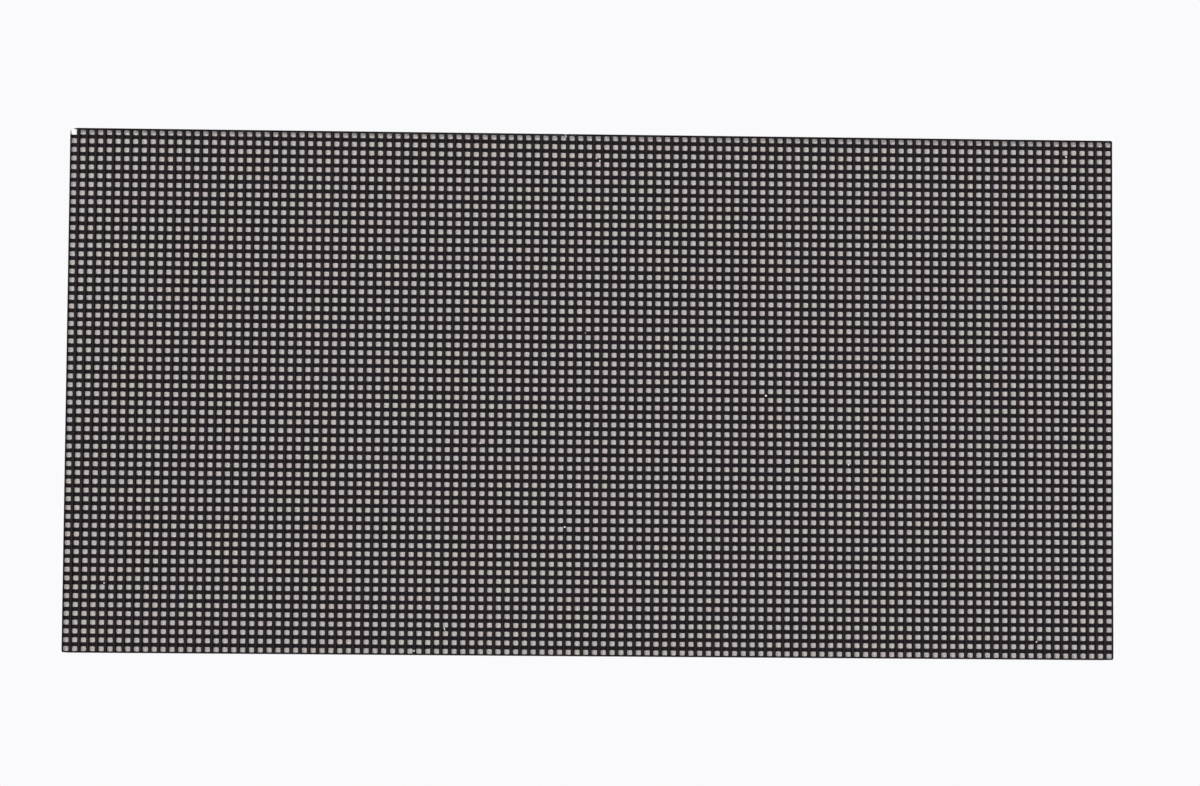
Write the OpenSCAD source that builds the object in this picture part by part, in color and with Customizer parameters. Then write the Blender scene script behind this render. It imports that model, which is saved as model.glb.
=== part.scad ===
// Full-colour LED display module: lamps soldered to the front of one circuit board, a black
// louvre mask over them, and a moulded rear frame that screws to the back of the board.
// X runs to the right as seen from the lamps and Z runs up. The lamps face -Y.
// The origin is the middle of the rear mounting plane. Lengths are in millimetres.

/* [Lamp field] */
// Distance from one lamp to the next, across and up
pitch = 2; // [1.9:0.1:2.5]
// Number of lamps in a row
columns = 120; // [96:4:132]
// Number of rows of lamps
rows = 60; // [56:2:80]

/* [Lamps] */
// Side of the square lamp package
lamp_w = 1.4; // [1.2:0.05:1.5]
// Height of the lamp package above the board
lamp_h = 0.9; // [0.7:0.05:1.1]

/* [Face mask] */
// Gap between a lamp and the mask around it
mask_clear = 0.04; // [0.02:0.01:0.08]
// Thickness of the mask's skirt beside the outermost lamps
skirt_t = 0.11; // [0.1:0.01:0.3]
// Width of the mask's rim in front of the outermost lamps
rim_w = 0.25; // [0.2:0.05:0.5]
// Depth of the cross bars that lie between the rows of lamps
row_bar_d = 1; // [0.9:0.05:1.3]
// Depth of the upright bars that stand in front of the row bars
column_bar_d = 0.75; // [0.5:0.05:1.2]
// Parting gap between the row bars and the column bars
bar_gap = 0.05; // [0.02:0.01:0.1]
// Radius of the mask's and the frame's outer corners
corner_r = 0.4; // [0.3:0.05:0.8]
// Diameter of the pegs that place the mask on the board
peg_d = 0.5; // [0.4:0.05:0.5]
// Gap between a peg and its hole
peg_clear = 0.1; // [0.05:0.05:0.2]
// Length of rim that is broken out above the first lamp
broken_w = 1.1; // [0.8:0.1:1.6]

/* [Circuit board] */
// Thickness of the board
board_t = 1.6; // [1.2:0.1:2]
// How far the board's edge lies inside the mask's edge
board_inset = 0.15; // [0.1:0.05:0.4]

/* [Rear frame] */
// Depth of the frame behind the board
frame_d = 10.6; // [10.2:0.2:14]
// Thickness of the outer walls
wall_t = 2.4; // [1.8:0.2:3]
// Thickness of the cross ribs
rib_t = 3; // [2:0.2:3.4]
// How far the ribs stop short of the rear plane
rib_drop = 1.2; // [0.6:0.2:2]
// Clear height of the long window across the middle
middle_window_h = 33; // [32:1:36]
// Thickness of the webs that tie the insert bosses to the walls
web_t = 1.6; // [1.2:0.2:2.4]

/* [Mounting inserts] */
// Distance from the end of the lamp field to an insert's centre
insert_in_x = 8; // [7.5:0.5:9]
// Distance from the top or bottom of the lamp field to an insert's centre
insert_in_z = 8; // [7.5:0.5:8.5]
// Outer diameter of a threaded insert
insert_od = 4.2; // [4:0.1:4.8]
// Core diameter of its thread
insert_bore = 2.5; // [2.4:0.05:3]
// Length of a threaded insert
insert_len = 6; // [4:0.5:7]
// Outer diameter of the boss around an insert
insert_boss_d = 8; // [7.4:0.2:8.4]
// Clear depth behind an insert for the end of a long screw
insert_relief = 2.4; // [1:0.2:2.6]
// Gap round an insert in its boss
insert_clear = 0.03; // [0.02:0.01:0.06]

/* [Locating pins] */
// Diameter of a locating pin
locator_d = 4; // [3:0.5:4.5]
// Length of a locating pin behind the rear plane
locator_len = 3; // [2:0.5:5]
// Diameter of the pad that carries a locating pin
locator_pad_d = 7; // [6.4:0.2:8]

/* [Frame screws] */
// Diameter of a frame screw's shank
screw_d = 1.9; // [1.7:0.05:2]
// Diameter of its head
screw_head_d = 3.8; // [3.4:0.1:4]
// Height of its head
screw_head_h = 1.3; // [1:0.1:1.6]
// Outer diameter of a nut soldered to the board
nut_od = 4.4; // [4:0.1:4.8]
// Bore of that nut
nut_bore = 2.1; // [2.05:0.05:2.4]
// Height of that nut
nut_h = 2; // [1.5:0.1:2.4]
// Thickness of the frame's web between nut and screw head
screw_seat_t = 2; // [1.6:0.1:2.4]
// Outer diameter of the boss around a frame screw
screw_boss_d = 7.6; // [7:0.2:8.4]
// Gap round a screw head, and round and above a nut
screw_clear = 0.3; // [0.2:0.05:0.4]

/* [Driver chips] */
// Number of columns of driver chips
chip_columns = 15; // [15:6:21]
// Length of a driver chip's body
chip_len = 8.65; // [8:0.05:9]
// Width of its body
chip_w = 3.9; // [3.8:0.1:4.4]
// Height of its body
chip_h = 1.5; // [1.2:0.1:1.8]
// Span over its two rows of leads
chip_span = 6; // [5.6:0.1:6.2]
// Thickness of a lead row
lead_t = 0.25; // [0.15:0.05:0.3]
// Distance from a rib's outer face to the centre of the outer chip rows
outer_row_in = 14.5; // [12:0.5:15]
// How far the middle chip row lies below the centre line
middle_row_drop = 8; // [7.5:0.5:9]
// Gap between the chip field and a signal header
header_side_gap = 2.5; // [2:0.5:4]

/* [Other chips] */
// Distance from the outer driver rows to the row switch chips
switch_out = 11.5; // [11:0.5:12]
// Length of a row switch chip's body
switch_len = 9.9; // [9:0.1:10.3]
// Length of a buffer chip's body
buffer_len = 6.5; // [6:0.1:7]
// Width of a buffer chip's body
buffer_w = 4.4; // [4:0.1:4.6]
// Height of a buffer chip's body
buffer_h = 1.1; // [0.9:0.1:1.4]
// Height of the buffer chips above the centre line
buffer_up = 7; // [6:0.5:9]

/* [Resistors and capacitors] */
// Length of a chip resistor or chip capacitor
chip_part_len = 1.6; // [1.4:0.1:1.8]
// Width of a chip resistor or chip capacitor
chip_part_w = 0.8; // [0.6:0.1:0.9]
// Height of a chip resistor
resistor_h = 0.45; // [0.3:0.05:0.6]
// Height of a chip capacitor
capacitor_h = 0.8; // [0.6:0.05:1]
// Gap between a chip and the small parts beside it
chip_part_gap = 1; // [0.6:0.1:1.4]
// Diameter of an electrolytic capacitor's can
can_d = 6.3; // [5:0.1:6.8]
// Height of the can above its base
can_h = 6.2; // [4:0.2:7]
// Thickness of the base under a can
can_base_t = 1.2; // [0.8:0.1:1.6]
// How far a base stands out round its can
can_base_lip = 0.15; // [0.1:0.05:0.3]
// Distance between the cans
can_pitch = 9; // [8:0.5:10]

/* [Signal headers] */
// Number of pins along a signal header
header_pins = 8; // [6:1:8]
// Distance between the pins
header_pitch = 2.54; // [2.4:0.01:2.54]
// Width of the shroud
header_w = 8.9; // [8.6:0.1:9.2]
// Length of the shroud past the outermost pins, at each end
header_end = 5; // [4.4:0.1:5.2]
// Height of the shroud's rear edge above the board
header_h = 9.2; // [8.8:0.1:9.6]
// Thickness of the shroud's walls
header_wall = 1.2; // [1:0.1:1.4]
// Thickness of the shroud's floor
header_floor = 2.4; // [2:0.1:2.8]
// Width of the keying slot in the shroud
header_key_w = 4.5; // [4:0.1:5]
// Height of the stand-off feet under the shroud
header_foot_h = 0.5; // [0.4:0.05:0.6]
// Side of a square header pin
pin_w = 0.64; // [0.5:0.02:0.7]
// How far the pins stop short of the shroud's edge
pin_short = 2.2; // [2:0.1:2.6]
// How far a pin's solder foot reaches past the shroud
pin_foot = 0.8; // [0.5:0.05:0.9]
// Gap between a shroud and the frame's wall
header_wall_gap = 1; // [0.95:0.05:1.4]

/* [Power header] */
// Number of power pins
power_pins = 4; // [2:1:4]
// Distance between the power pins
power_pitch = 3.96; // [3.9:0.01:4]
// Length of the body past the outermost pins, at each end
power_end = 2; // [1.8:0.1:2.4]
// Width of the body
power_w = 8.5; // [8:0.1:8.8]
// Thickness of the body's base
power_base_t = 3.3; // [2.8:0.1:3.6]
// Height of the back wall above the board
power_wall_h = 9.6; // [8:0.1:9.8]
// Thickness of the back wall
power_wall_t = 1.2; // [1:0.1:1.5]
// Side of a square power pin
power_pin_w = 1.14; // [1:0.02:1.2]
// Height of a power pin above the board
power_pin_h = 9.2; // [8:0.1:9.6]
// Height of the header's centre above the centre line
power_up = 7; // [6.5:0.5:8]

/* [Hidden] */

// A cut runs this far past the face that it opens
over = 1;

// Outline of the module, just outside the outermost lamps
module_w = (columns - 1) * pitch + lamp_w + 2 * (mask_clear + skirt_t);
module_h = (rows - 1) * pitch + lamp_w + 2 * (mask_clear + skirt_t);

// Planes from the rear forwards
board_back = -frame_d;
board_front = board_back - board_t;
lamp_front = board_front - lamp_h;
row_bar_front = board_front - row_bar_d;
column_bar_back = row_bar_front - bar_gap;
mask_front = column_bar_back - column_bar_d;

// The bars are as wide as the space between two lamps allows
bar_w = pitch - lamp_w - 2 * mask_clear;
row_gaps = [for (k = [1 : rows - 1]) (k - rows / 2) * pitch];
column_gaps = [for (k = [1 : columns - 1]) (k - columns / 2) * pitch];
row_centres = [for (k = [0 : rows - 1]) (k + 0.5 - rows / 2) * pitch];

// Pegs stand where a row bar crosses a column bar
peg_xs = [for (k = [-5 : 2 : 5]) round(k * columns / 12) * pitch];
peg_zs = [for (k = [-2 : 2]) round(k * rows / 5) * pitch];

// Rear frame
inner_w = module_w - 2 * wall_t;
inner_h = module_h - 2 * wall_t;
rib_z = (middle_window_h + rib_t) / 2;
insert_x = columns * pitch / 2 - insert_in_x;
insert_z = rows * pitch / 2 - insert_in_z;
insert_spots = [for (x = [-insert_x, 0, insert_x], z = [-insert_z, insert_z]) [x, z]];

// Signal headers and the field of chips between them
header_x = inner_w / 2 - header_wall_gap - header_w / 2;
header_len = (header_pins - 1) * header_pitch + 2 * header_end;
chip_pitch = 2 * (header_x - header_w / 2 - header_side_gap) / chip_columns;
chip_xs = [for (k = [0 : chip_columns - 1]) (k - (chip_columns - 1) / 2) * chip_pitch];
outer_row_z = rib_z + rib_t / 2 + outer_row_in;
chip_zs = [-outer_row_z, -middle_row_drop, outer_row_z];
upright_rib_x = chip_pitch * chip_columns / 6;
switch_z = outer_row_z + switch_out;
switch_xs = [for (side = [-1, 1], k = [3.5, 6]) side * k * chip_columns / 15 * chip_pitch];
buffer_xs = [-5.5 * chip_pitch, -6.5 * chip_pitch];

// Frame screws sit on the cross ribs
end_screw_x = chip_xs[chip_columns - 1];
screw_xs = [-end_screw_x, -upright_rib_x, upright_rib_x, end_screw_x];
screw_spots = [for (x = screw_xs, z = [-rib_z, rib_z]) [x, z]];
screw_seat = board_back + nut_h + screw_clear + screw_seat_t;
screw_tip = board_back + screw_clear;
locator_x = chip_pitch * chip_columns / 3;

// Small parts beside the chips, on the side away from the module's edge
part_row_zs = [
    -outer_row_z + chip_len / 2 + chip_part_gap,
    -middle_row_drop + chip_len / 2 + chip_part_gap,
    outer_row_z - chip_len / 2 - chip_part_gap];

power_len = (power_pins - 1) * power_pitch + 2 * power_end;
can_xs = [for (side = [-1, 1], k = [0, 1]) side * (power_len / 2 + can_d / 2 + 2 + k * can_pitch)];

// A block centred on X and Z, from one plane to another
module block(w, h, from_y, to_y) {
    translate([-w / 2, from_y, -h / 2])
        cube([w, to_y - from_y, h]);
}

// A round bar along Y
module rod(d, from_y, to_y, sides = 32) {
    translate([0, from_y, 0])
        rotate([-90, 0, 0])
            cylinder(d = d, h = to_y - from_y, $fn = sides);
}

// A block whose four long edges are rounded
module rounded_block(w, h, r, from_y, to_y) {
    block(w - 2 * r, h, from_y, to_y);
    block(w, h - 2 * r, from_y, to_y);
    for (x = [r - w / 2, w / 2 - r], z = [r - h / 2, h / 2 - r])
        translate([x, 0, z])
            rod(2 * r, from_y, to_y);
}

// One moulding: rim, row bars between the lamps, column bars in front of them, and pegs
module face_mask() {
    color([0.09, 0.08, 0.09])
    difference() {
        union() {
            difference() {
                rounded_block(module_w, module_h, corner_r, mask_front, board_front);
                block(module_w - 2 * rim_w, module_h - 2 * rim_w, mask_front - over, board_front);
                block(module_w - 2 * skirt_t, module_h - 2 * skirt_t, row_bar_front, board_front + over);
            }
            for (z = row_gaps)
                translate([0, 0, z])
                    block(module_w - skirt_t, bar_w, row_bar_front, board_front);
            for (x = column_gaps)
                translate([x, 0, 0])
                    block(bar_w, module_h - rim_w, mask_front, column_bar_back);
            for (x = peg_xs, z = peg_zs)
                translate([x, 0, z])
                    rod(peg_d, row_bar_front + bar_gap, board_back - bar_gap, 16);
        }
        translate([(1 - columns) * pitch / 2, 0, module_h / 2])
            block(broken_w, 2 * rim_w, mask_front - over, column_bar_back);
    }
}

// Each row of lamps is one bar, as wide and as high as the packages
module led_packages() {
    color([0.66, 0.65, 0.64])
    for (z = row_centres)
        translate([0, 0, z])
            block((columns - 1) * pitch + lamp_w, lamp_w, lamp_front, board_front);
}

module circuit_board() {
    color([0.07, 0.16, 0.11])
    difference() {
        block(module_w - 2 * board_inset, module_h - 2 * board_inset, board_front, board_back);
        for (x = peg_xs, z = peg_zs)
            translate([x, 0, z])
                rod(peg_d + 2 * peg_clear, board_front - over, board_back + over, 16);
    }
}

// A chip body on its two rows of leads; the leads stand out along X
module chip(w, len, h, span) {
    block(w, len, board_back, board_back + h);
    block(span, len - 0.8, board_back, board_back + lead_t);
}

module driver_chips() {
    color([0.1, 0.1, 0.11])
    for (x = chip_xs, z = chip_zs)
        translate([x, 0, z])
            chip(chip_w, chip_len, chip_h, chip_span);
}

module row_switch_chips() {
    color([0.1, 0.1, 0.11])
    for (x = switch_xs, z = [-switch_z, switch_z])
        translate([x, 0, z])
            rotate([0, 90, 0])
                chip(chip_w, switch_len, chip_h, chip_span);
}

module buffer_chips() {
    color([0.1, 0.1, 0.11])
    for (x = buffer_xs)
        translate([x, 0, buffer_up])
            chip(buffer_w, buffer_len, buffer_h, buffer_w + 2);
}

// Beside each driver chip: one resistor to the left and one capacitor to the right
module chip_resistors() {
    color([0.08, 0.08, 0.09])
    for (x = chip_xs, z = part_row_zs)
        translate([x - chip_part_len * 0.75, 0, z])
            block(chip_part_len, chip_part_w, board_back, board_back + resistor_h);
}

module chip_capacitors() {
    color([0.62, 0.5, 0.36])
    for (x = chip_xs, z = part_row_zs)
        translate([x + chip_part_len * 0.75, 0, z])
            block(chip_part_len, chip_part_w, board_back, board_back + capacitor_h);
}

module capacitor_cans() {
    color([0.78, 0.79, 0.8])
    for (x = can_xs)
        translate([x, 0, power_up])
            rod(can_d, board_back + can_base_t, board_back + can_base_t + can_h);
}

// A square base with two corners cut off to mark its polarity
module capacitor_bases() {
    color([0.1, 0.1, 0.11])
    for (x = can_xs)
        translate([x, board_back, power_up])
            rotate([90, 0, 0])
                mirror([0, 0, 1])
                    linear_extrude(can_base_t)
                        base_outline(can_d / 2 + can_base_lip, can_d / 5);
}

module base_outline(half, cut) {
    polygon([[-half, -half], [half, -half], [half, half - cut],
        [half - cut, half], [cut - half, half], [-half, half - cut]]);
}

// Positions of the pins in a signal header: two columns, pins above one another
function header_spots() = [for (side = [-1, 1], k = [0 : header_pins - 1])
    [side * header_pitch / 2, (k - (header_pins - 1) / 2) * header_pitch, side]];

// A box header stood on its solder feet, with its keying slot on the -X side
module header_shroud() {
    floor_y = board_back + header_foot_h;
    difference() {
        union() {
            block(header_w, header_len, floor_y, board_back + header_h);
            for (z = [header_w / 4 - header_len / 2, header_len / 2 - header_w / 4])
                translate([0, 0, z])
                    block(header_w - 2, 1.5, board_back, floor_y);
        }
        block(header_w - 2 * header_wall, header_len - 2 * header_wall,
            floor_y + header_floor, board_back + header_h + over);
        translate([-header_w / 2, 0, 0])
            block(4 * header_wall - header_wall, header_key_w,
                floor_y + header_floor, board_back + header_h + over);
        for (spot = header_spots())
            translate([spot[0], 0, spot[1]])
                block(pin_w + 2 * mask_clear, pin_w + 2 * mask_clear, board_back, board_back + header_h);
    }
}

// Square pins, each with a solder foot that lies on the board
module header_pins_set() {
    foot_len = (header_w - header_pitch) / 2 + pin_foot;
    for (spot = header_spots())
        translate([spot[0], 0, spot[1]]) {
            block(pin_w, pin_w, board_back, board_back + header_h - pin_short);
            translate([spot[2] * foot_len / 2, 0, 0])
                block(foot_len, pin_w, board_back, board_back + header_foot_h / 2);
        }
}

module signal_in_shroud() {
    color([0.12, 0.12, 0.13])
    translate([-header_x, 0, 0])
        rotate([0, 180, 0])
            header_shroud();
}

module signal_in_pins() {
    color([0.85, 0.7, 0.35])
    translate([-header_x, 0, 0])
        header_pins_set();
}

module signal_out_shroud() {
    color([0.12, 0.12, 0.13])
    translate([header_x, 0, 0])
        header_shroud();
}

module signal_out_pins() {
    color([0.85, 0.7, 0.35])
    translate([header_x, 0, 0])
        header_pins_set();
}

function power_spots() = [for (k = [0 : power_pins - 1]) (k - (power_pins - 1) / 2) * power_pitch];

// A base with a back wall above it that has a latching bead along its edge
module power_header_body() {
    color([0.9, 0.89, 0.85])
    translate([0, 0, power_up])
        difference() {
            union() {
                block(power_len, power_w, board_back, board_back + power_base_t);
                translate([0, 0, (power_w - power_wall_t) / 2])
                    block(power_len, power_wall_t, board_back, board_back + power_wall_h);
                translate([0, 0, power_w / 2 - power_wall_t])
                    block(power_len / 2, power_wall_t, board_back + power_wall_h - 2,
                        board_back + power_wall_h - 1);
            }
            for (x = power_spots())
                translate([x, 0, 0])
                    block(power_pin_w + 2 * mask_clear, power_pin_w + 2 * mask_clear,
                        board_back - over, board_back + power_base_t + over);
        }
}

module power_header_pins() {
    color([0.8, 0.8, 0.78])
    for (x = power_spots())
        translate([x, 0, power_up])
            block(power_pin_w, power_pin_w, board_back, board_back + power_pin_h);
}

module board_nuts() {
    color([0.8, 0.79, 0.74])
    for (spot = screw_spots)
        translate([spot[0], 0, spot[1]])
            difference() {
                rod(nut_od, board_back, board_back + nut_h);
                rod(nut_bore, board_back - over, board_back + nut_h + over);
            }
}

// The boss of an insert with its webs to the nearest walls
module insert_boss(x, z) {
    translate([x, 0, z])
        rod(insert_boss_d, board_back, 0);
    wall_z = sign(z) * inner_h / 2;
    translate([x, 0, (z + wall_z) / 2])
        block(web_t, abs(wall_z - z) + wall_t, board_back, -rib_drop);
    if (x != 0) {
        wall_x = sign(x) * inner_w / 2;
        translate([(x + wall_x) / 2, 0, z])
            block(abs(wall_x - x) + wall_t, web_t, board_back, -rib_drop);
    }
}

module rear_frame() {
    color([0.13, 0.13, 0.14])
    difference() {
        union() {
            difference() {
                rounded_block(module_w, module_h, corner_r, board_back, 0);
                block(inner_w, inner_h, board_back - over, over);
            }
            for (side = [-1, 1]) {
                translate([0, 0, side * rib_z])
                    block(inner_w + wall_t, rib_t, board_back, -rib_drop);
                for (end = [-1, 1])
                    translate([side * upright_rib_x, 0, end * (rib_z + module_h / 2 - wall_t / 2) / 2])
                        block(rib_t, module_h / 2 - wall_t / 2 - rib_z, board_back, -rib_drop);
                translate([side * locator_x, 0, -side * rib_z]) {
                    rod(locator_pad_d, board_back, 0);
                    rod(locator_d, -over, locator_len);
                }
            }
            for (spot = insert_spots)
                insert_boss(spot[0], spot[1]);
            for (spot = screw_spots)
                translate([spot[0], 0, spot[1]])
                    rod(screw_boss_d, board_back, -rib_drop);
        }
        for (spot = insert_spots)
            translate([spot[0], 0, spot[1]]) {
                rod(insert_od + 2 * insert_clear, -insert_len, over);
                rod(insert_bore + 0.8, -insert_len - insert_relief, -insert_len + over);
            }
        for (spot = screw_spots)
            translate([spot[0], 0, spot[1]]) {
                rod(nut_od + 2 * screw_clear, board_back - over, screw_seat - screw_seat_t);
                rod(screw_d + screw_clear, board_back, 0);
                rod(screw_head_d + 2 * screw_clear, screw_seat, over);
            }
    }
}

// Brass inserts, flush with the rear plane, with a groove between two knurled bands
module threaded_inserts() {
    color([0.78, 0.62, 0.3])
    for (spot = insert_spots)
        translate([spot[0], 0, spot[1]])
            rotate([90, 0, 0])
                rotate_extrude($fn = 32)
                    polygon([[insert_bore / 2, 0], [insert_od / 2, 0],
                        [insert_od / 2, insert_len * 0.4], [insert_od / 2 - 0.3, insert_len * 0.4],
                        [insert_od / 2 - 0.3, insert_len * 0.6], [insert_od / 2, insert_len * 0.6],
                        [insert_od / 2, insert_len], [insert_bore / 2, insert_len]]);
}

// Pan-head screws with a cross recess, driven from behind into the board nuts
module frame_screws() {
    color([0.7, 0.7, 0.72])
    for (spot = screw_spots)
        translate([spot[0], 0, spot[1]])
            difference() {
                union() {
                    rod(screw_head_d, screw_seat, screw_seat + screw_head_h);
                    rod(screw_d, screw_tip, screw_seat + screw_head_h / 2);
                }
                for (turn = [0, 90])
                    rotate([0, turn, 0])
                        block(screw_head_d * 0.6, screw_head_d * 0.16,
                            screw_seat + screw_head_h * 0.4, screw_seat + screw_head_h + over);
            }
}

face_mask();
led_packages();
circuit_board();
driver_chips();
row_switch_chips();
buffer_chips();
chip_resistors();
chip_capacitors();
capacitor_cans();
capacitor_bases();
signal_in_shroud();
signal_in_pins();
signal_out_shroud();
signal_out_pins();
power_header_body();
power_header_pins();
board_nuts();
rear_frame();
threaded_inserts();
frame_screws();
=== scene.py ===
# %% [markdown]
# # Full-colour LED display module
#
# The real module is a sandwich. Thousands of square LED packages are soldered to the front of
# one circuit board, a black louvre mask is pressed over them so that each sits in its own
# little window, and a moulded frame screws to the back of the board and holds the inserts
# that fix the module to a cabinet.
#
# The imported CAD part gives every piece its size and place. This script dresses it: it swaps
# the plain stand-ins for pieces with their real edges, and gives each surface its finish.
# The frame is loaded first, because most of the sizes and places below are read from it.

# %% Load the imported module
import math
import random

import bmesh
import bpy
from mathutils import Matrix, Vector


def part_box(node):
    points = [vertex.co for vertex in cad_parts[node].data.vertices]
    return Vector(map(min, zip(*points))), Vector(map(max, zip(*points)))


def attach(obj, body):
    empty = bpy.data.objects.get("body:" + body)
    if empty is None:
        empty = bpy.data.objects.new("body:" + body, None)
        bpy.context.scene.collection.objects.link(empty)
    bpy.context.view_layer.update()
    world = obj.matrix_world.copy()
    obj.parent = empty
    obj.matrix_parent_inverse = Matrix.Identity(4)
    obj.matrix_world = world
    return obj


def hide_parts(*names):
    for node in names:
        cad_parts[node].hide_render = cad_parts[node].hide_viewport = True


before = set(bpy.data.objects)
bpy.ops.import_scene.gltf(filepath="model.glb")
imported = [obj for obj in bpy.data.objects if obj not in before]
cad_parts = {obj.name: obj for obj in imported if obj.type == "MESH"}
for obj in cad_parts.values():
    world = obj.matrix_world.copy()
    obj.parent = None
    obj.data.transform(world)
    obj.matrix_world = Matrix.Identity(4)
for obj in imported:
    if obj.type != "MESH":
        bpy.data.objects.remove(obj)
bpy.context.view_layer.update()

print("CAD nodes", len(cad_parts))

# %% [markdown]
# ## Sizes
#
# Blender works in metres, so one millimetre gets a name. Everything that the frame knows is
# measured from it: the lamp field gives the lamp's side, and the board gives the planes that
# the lamps and chips sit on. Only what the CAD leaves to this script is written as a number.

# %% Sizes taken from the frame
MM = 0.001
COLUMNS, ROWS = 120, 60
PITCH = 2.0 * MM

lamps_low, lamps_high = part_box("led_packages")
mask_low, mask_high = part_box("face_mask")
board_low, board_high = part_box("circuit_board")

LAMP_W = lamps_high.x - lamps_low.x - (COLUMNS - 1) * PITCH
LAMP_FRONT = lamps_low.y
BOARD_FRONT = board_low.y
BOARD_BACK = board_high.y
MASK_FRONT = mask_low.y
LAMP_GAP = 0.04 * MM
BAR_W = PITCH - LAMP_W - 2 * LAMP_GAP
RIM_W = 0.25 * MM
print("lamp side", round(LAMP_W / MM, 3), "bar width", round(BAR_W / MM, 3), "mm")

# %% [markdown]
# ## Small helpers
#
# A few helpers carry the whole script. `linear` turns a colour as a painter would pick it, an
# sRGB hex value, into the linear light that shaders work in. `add_node` puts one node in a
# material with its settings and links; where a node is given as an input, its first output in
# use feeds that input. `drifting` and `grain_bump` are the two patterns that nearly every
# finish has: a slow change in tone, and a fine grain. `add_piece` makes an object from a mesh,
# puts it on the frame's one body and hides the CAD node that it stands for. What is repeated
# hundreds of times must have few faces, so `tell` counts them on a trial.

# %% Colours and nodes
def linear(hex_colour):
    """An sRGB hex colour as linear red, green, blue and alpha."""
    parts = [int(hex_colour[k:k + 2], 16) / 255 for k in (1, 3, 5)]
    return [p / 12.92 if p <= 0.04045 else ((p + 0.055) / 1.055) ** 2.4 for p in parts] + [1.0]


def add_node(tree, kind, inputs=None, **settings):
    """One node. Settings are its own properties; inputs are values, or what feeds them."""
    made = tree.nodes.new(kind)
    for name, value in settings.items():
        setattr(made, name, value)
    for key, value in (inputs or {}).items():
        if isinstance(value, bpy.types.Node):
            value = next(output for output in value.outputs if output.enabled)
        if isinstance(value, bpy.types.NodeSocket):
            tree.links.new(value, made.inputs[key])
        else:
            made.inputs[key].default_value = value
    return made


def new_material(name):
    """A material without nodes, and the object coordinates that its pattern will read."""
    material = bpy.data.materials.new(name)
    material.use_nodes = True
    tree = material.node_tree
    tree.nodes.clear()
    return material, tree, add_node(tree, "ShaderNodeTexCoord").outputs["Object"]


def drifting(tree, place, size, dark, light, detail=3.0):
    """A tone that drifts between two colours; its patches have a size in metres."""
    drift = add_node(tree, "ShaderNodeTexNoise", {"Vector": place, "Scale": 1 / size, "Detail": detail})
    return add_node(tree, "ShaderNodeMix", {
        "Factor": drift, "A": linear(dark), "B": linear(light)}, data_type="RGBA")


def grain_bump(tree, place, size, strength, depth):
    """A fine grain whose size and depth are in metres."""
    grain = add_node(tree, "ShaderNodeTexNoise", {"Vector": place, "Scale": 1 / size, "Detail": 2.0})
    return add_node(tree, "ShaderNodeBump", {"Height": grain, "Strength": strength, "Distance": depth})


print("mid grey in linear light", linear("#808080")[0])

# %% Pieces
def add_piece(name, mesh, material, replaced, sharp_angle=30):
    """A finished mesh as a piece of the module, smooth but for edges past the sharp angle."""
    piece = bpy.data.objects.new(name, mesh)
    bpy.context.scene.collection.objects.link(piece)
    mesh.materials.append(material)
    mesh.shade_smooth()
    mesh.set_sharp_from_angle(angle=math.radians(sharp_angle))
    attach(piece, "root")
    if replaced:
        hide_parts(replaced)
    print(name, len(mesh.polygons), "faces")


def mesh_of(name, shape):
    """The mesh of a bmesh with its normals pointing outwards."""
    bmesh.ops.recalc_face_normals(shape, faces=shape.faces)
    mesh = bpy.data.meshes.new(name)
    shape.to_mesh(mesh)
    shape.free()
    return mesh


def tell(what, shape):
    """Prints how many faces a trial shape has, and frees it."""
    print(what, len(shape.faces), "faces")
    shape.free()


# %% [markdown]
# ## The louvre mask
#
# The mask is one injection moulding in matt black polycarbonate, moulded against a
# spark-eroded tool. The fine grain scatters the light, so the bars show almost no gloss: the
# eye sees a soft charcoal that is a little uneven. The real grain is a few hundredths of a
# millimetre, and is drawn at 0.1 mm so that it shows at all. The fronts of the tall bars are
# drawn lighter than what lies behind them. This is painted light, for the light that reaches
# the front faces and not the recessed bars, so the tone is scaled by how far forward a spot lies.

# %% Mask material
ROW_BAR_FRONT = BOARD_FRONT - 1.0 * MM
BAR_FRONT = MASK_FRONT + 0.05 * MM
# Painted light: how deep the lighter bar fronts reach, and how much lighter they are drawn
FRONT_LIGHT_DEPTH = 0.1 * MM
FRONT_PAINTED_LIGHTER = 1.45


def mask_polycarbonate():
    material, tree, place = new_material("matt_black_polycarbonate")
    tone = drifting(tree, place, 14 * MM, "#181314", "#1f1a1e")
    forward = add_node(tree, "ShaderNodeSeparateXYZ", {"Vector": place}).outputs["Y"]
    front_lit = add_node(tree, "ShaderNodeMapRange", {
        "Value": forward, "From Min": BAR_FRONT + FRONT_LIGHT_DEPTH, "From Max": BAR_FRONT,
        "To Min": 1.0, "To Max": FRONT_PAINTED_LIGHTER})
    painted_light_tone = add_node(tree, "ShaderNodeVectorMath", {0: tone, "Scale": front_lit}, operation="SCALE")
    bump = grain_bump(tree, place, 0.1 * MM, 0.25, 0.01 * MM)
    shader = add_node(tree, "ShaderNodeBsdfPrincipled", {
        "Base Color": painted_light_tone, "Roughness": 0.72, "Specular IOR Level": 0.1, "Normal": bump})
    add_node(tree, "ShaderNodeOutputMaterial", {"Surface": shader})
    return material


MASK_MATERIAL = mask_polycarbonate()
print("column bars stand", round((ROW_BAR_FRONT - BAR_FRONT) / MM, 2), "mm above the row bars")

# %% [markdown]
# Around every lamp runs a lattice whose row bars end just above the lamps; on it stand a rim
# and the taller column bars. Cutting thousands of holes from a plate with booleans would be
# slow and leave a poor mesh. Here a grid is made with one line for each edge of each bar, its
# window faces are deleted, and what is left is extruded once into a closed lattice.

# %% Lattice
SKIRT_W = 0.11 * MM
CORNER_CUT = 0.12 * MM


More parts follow.
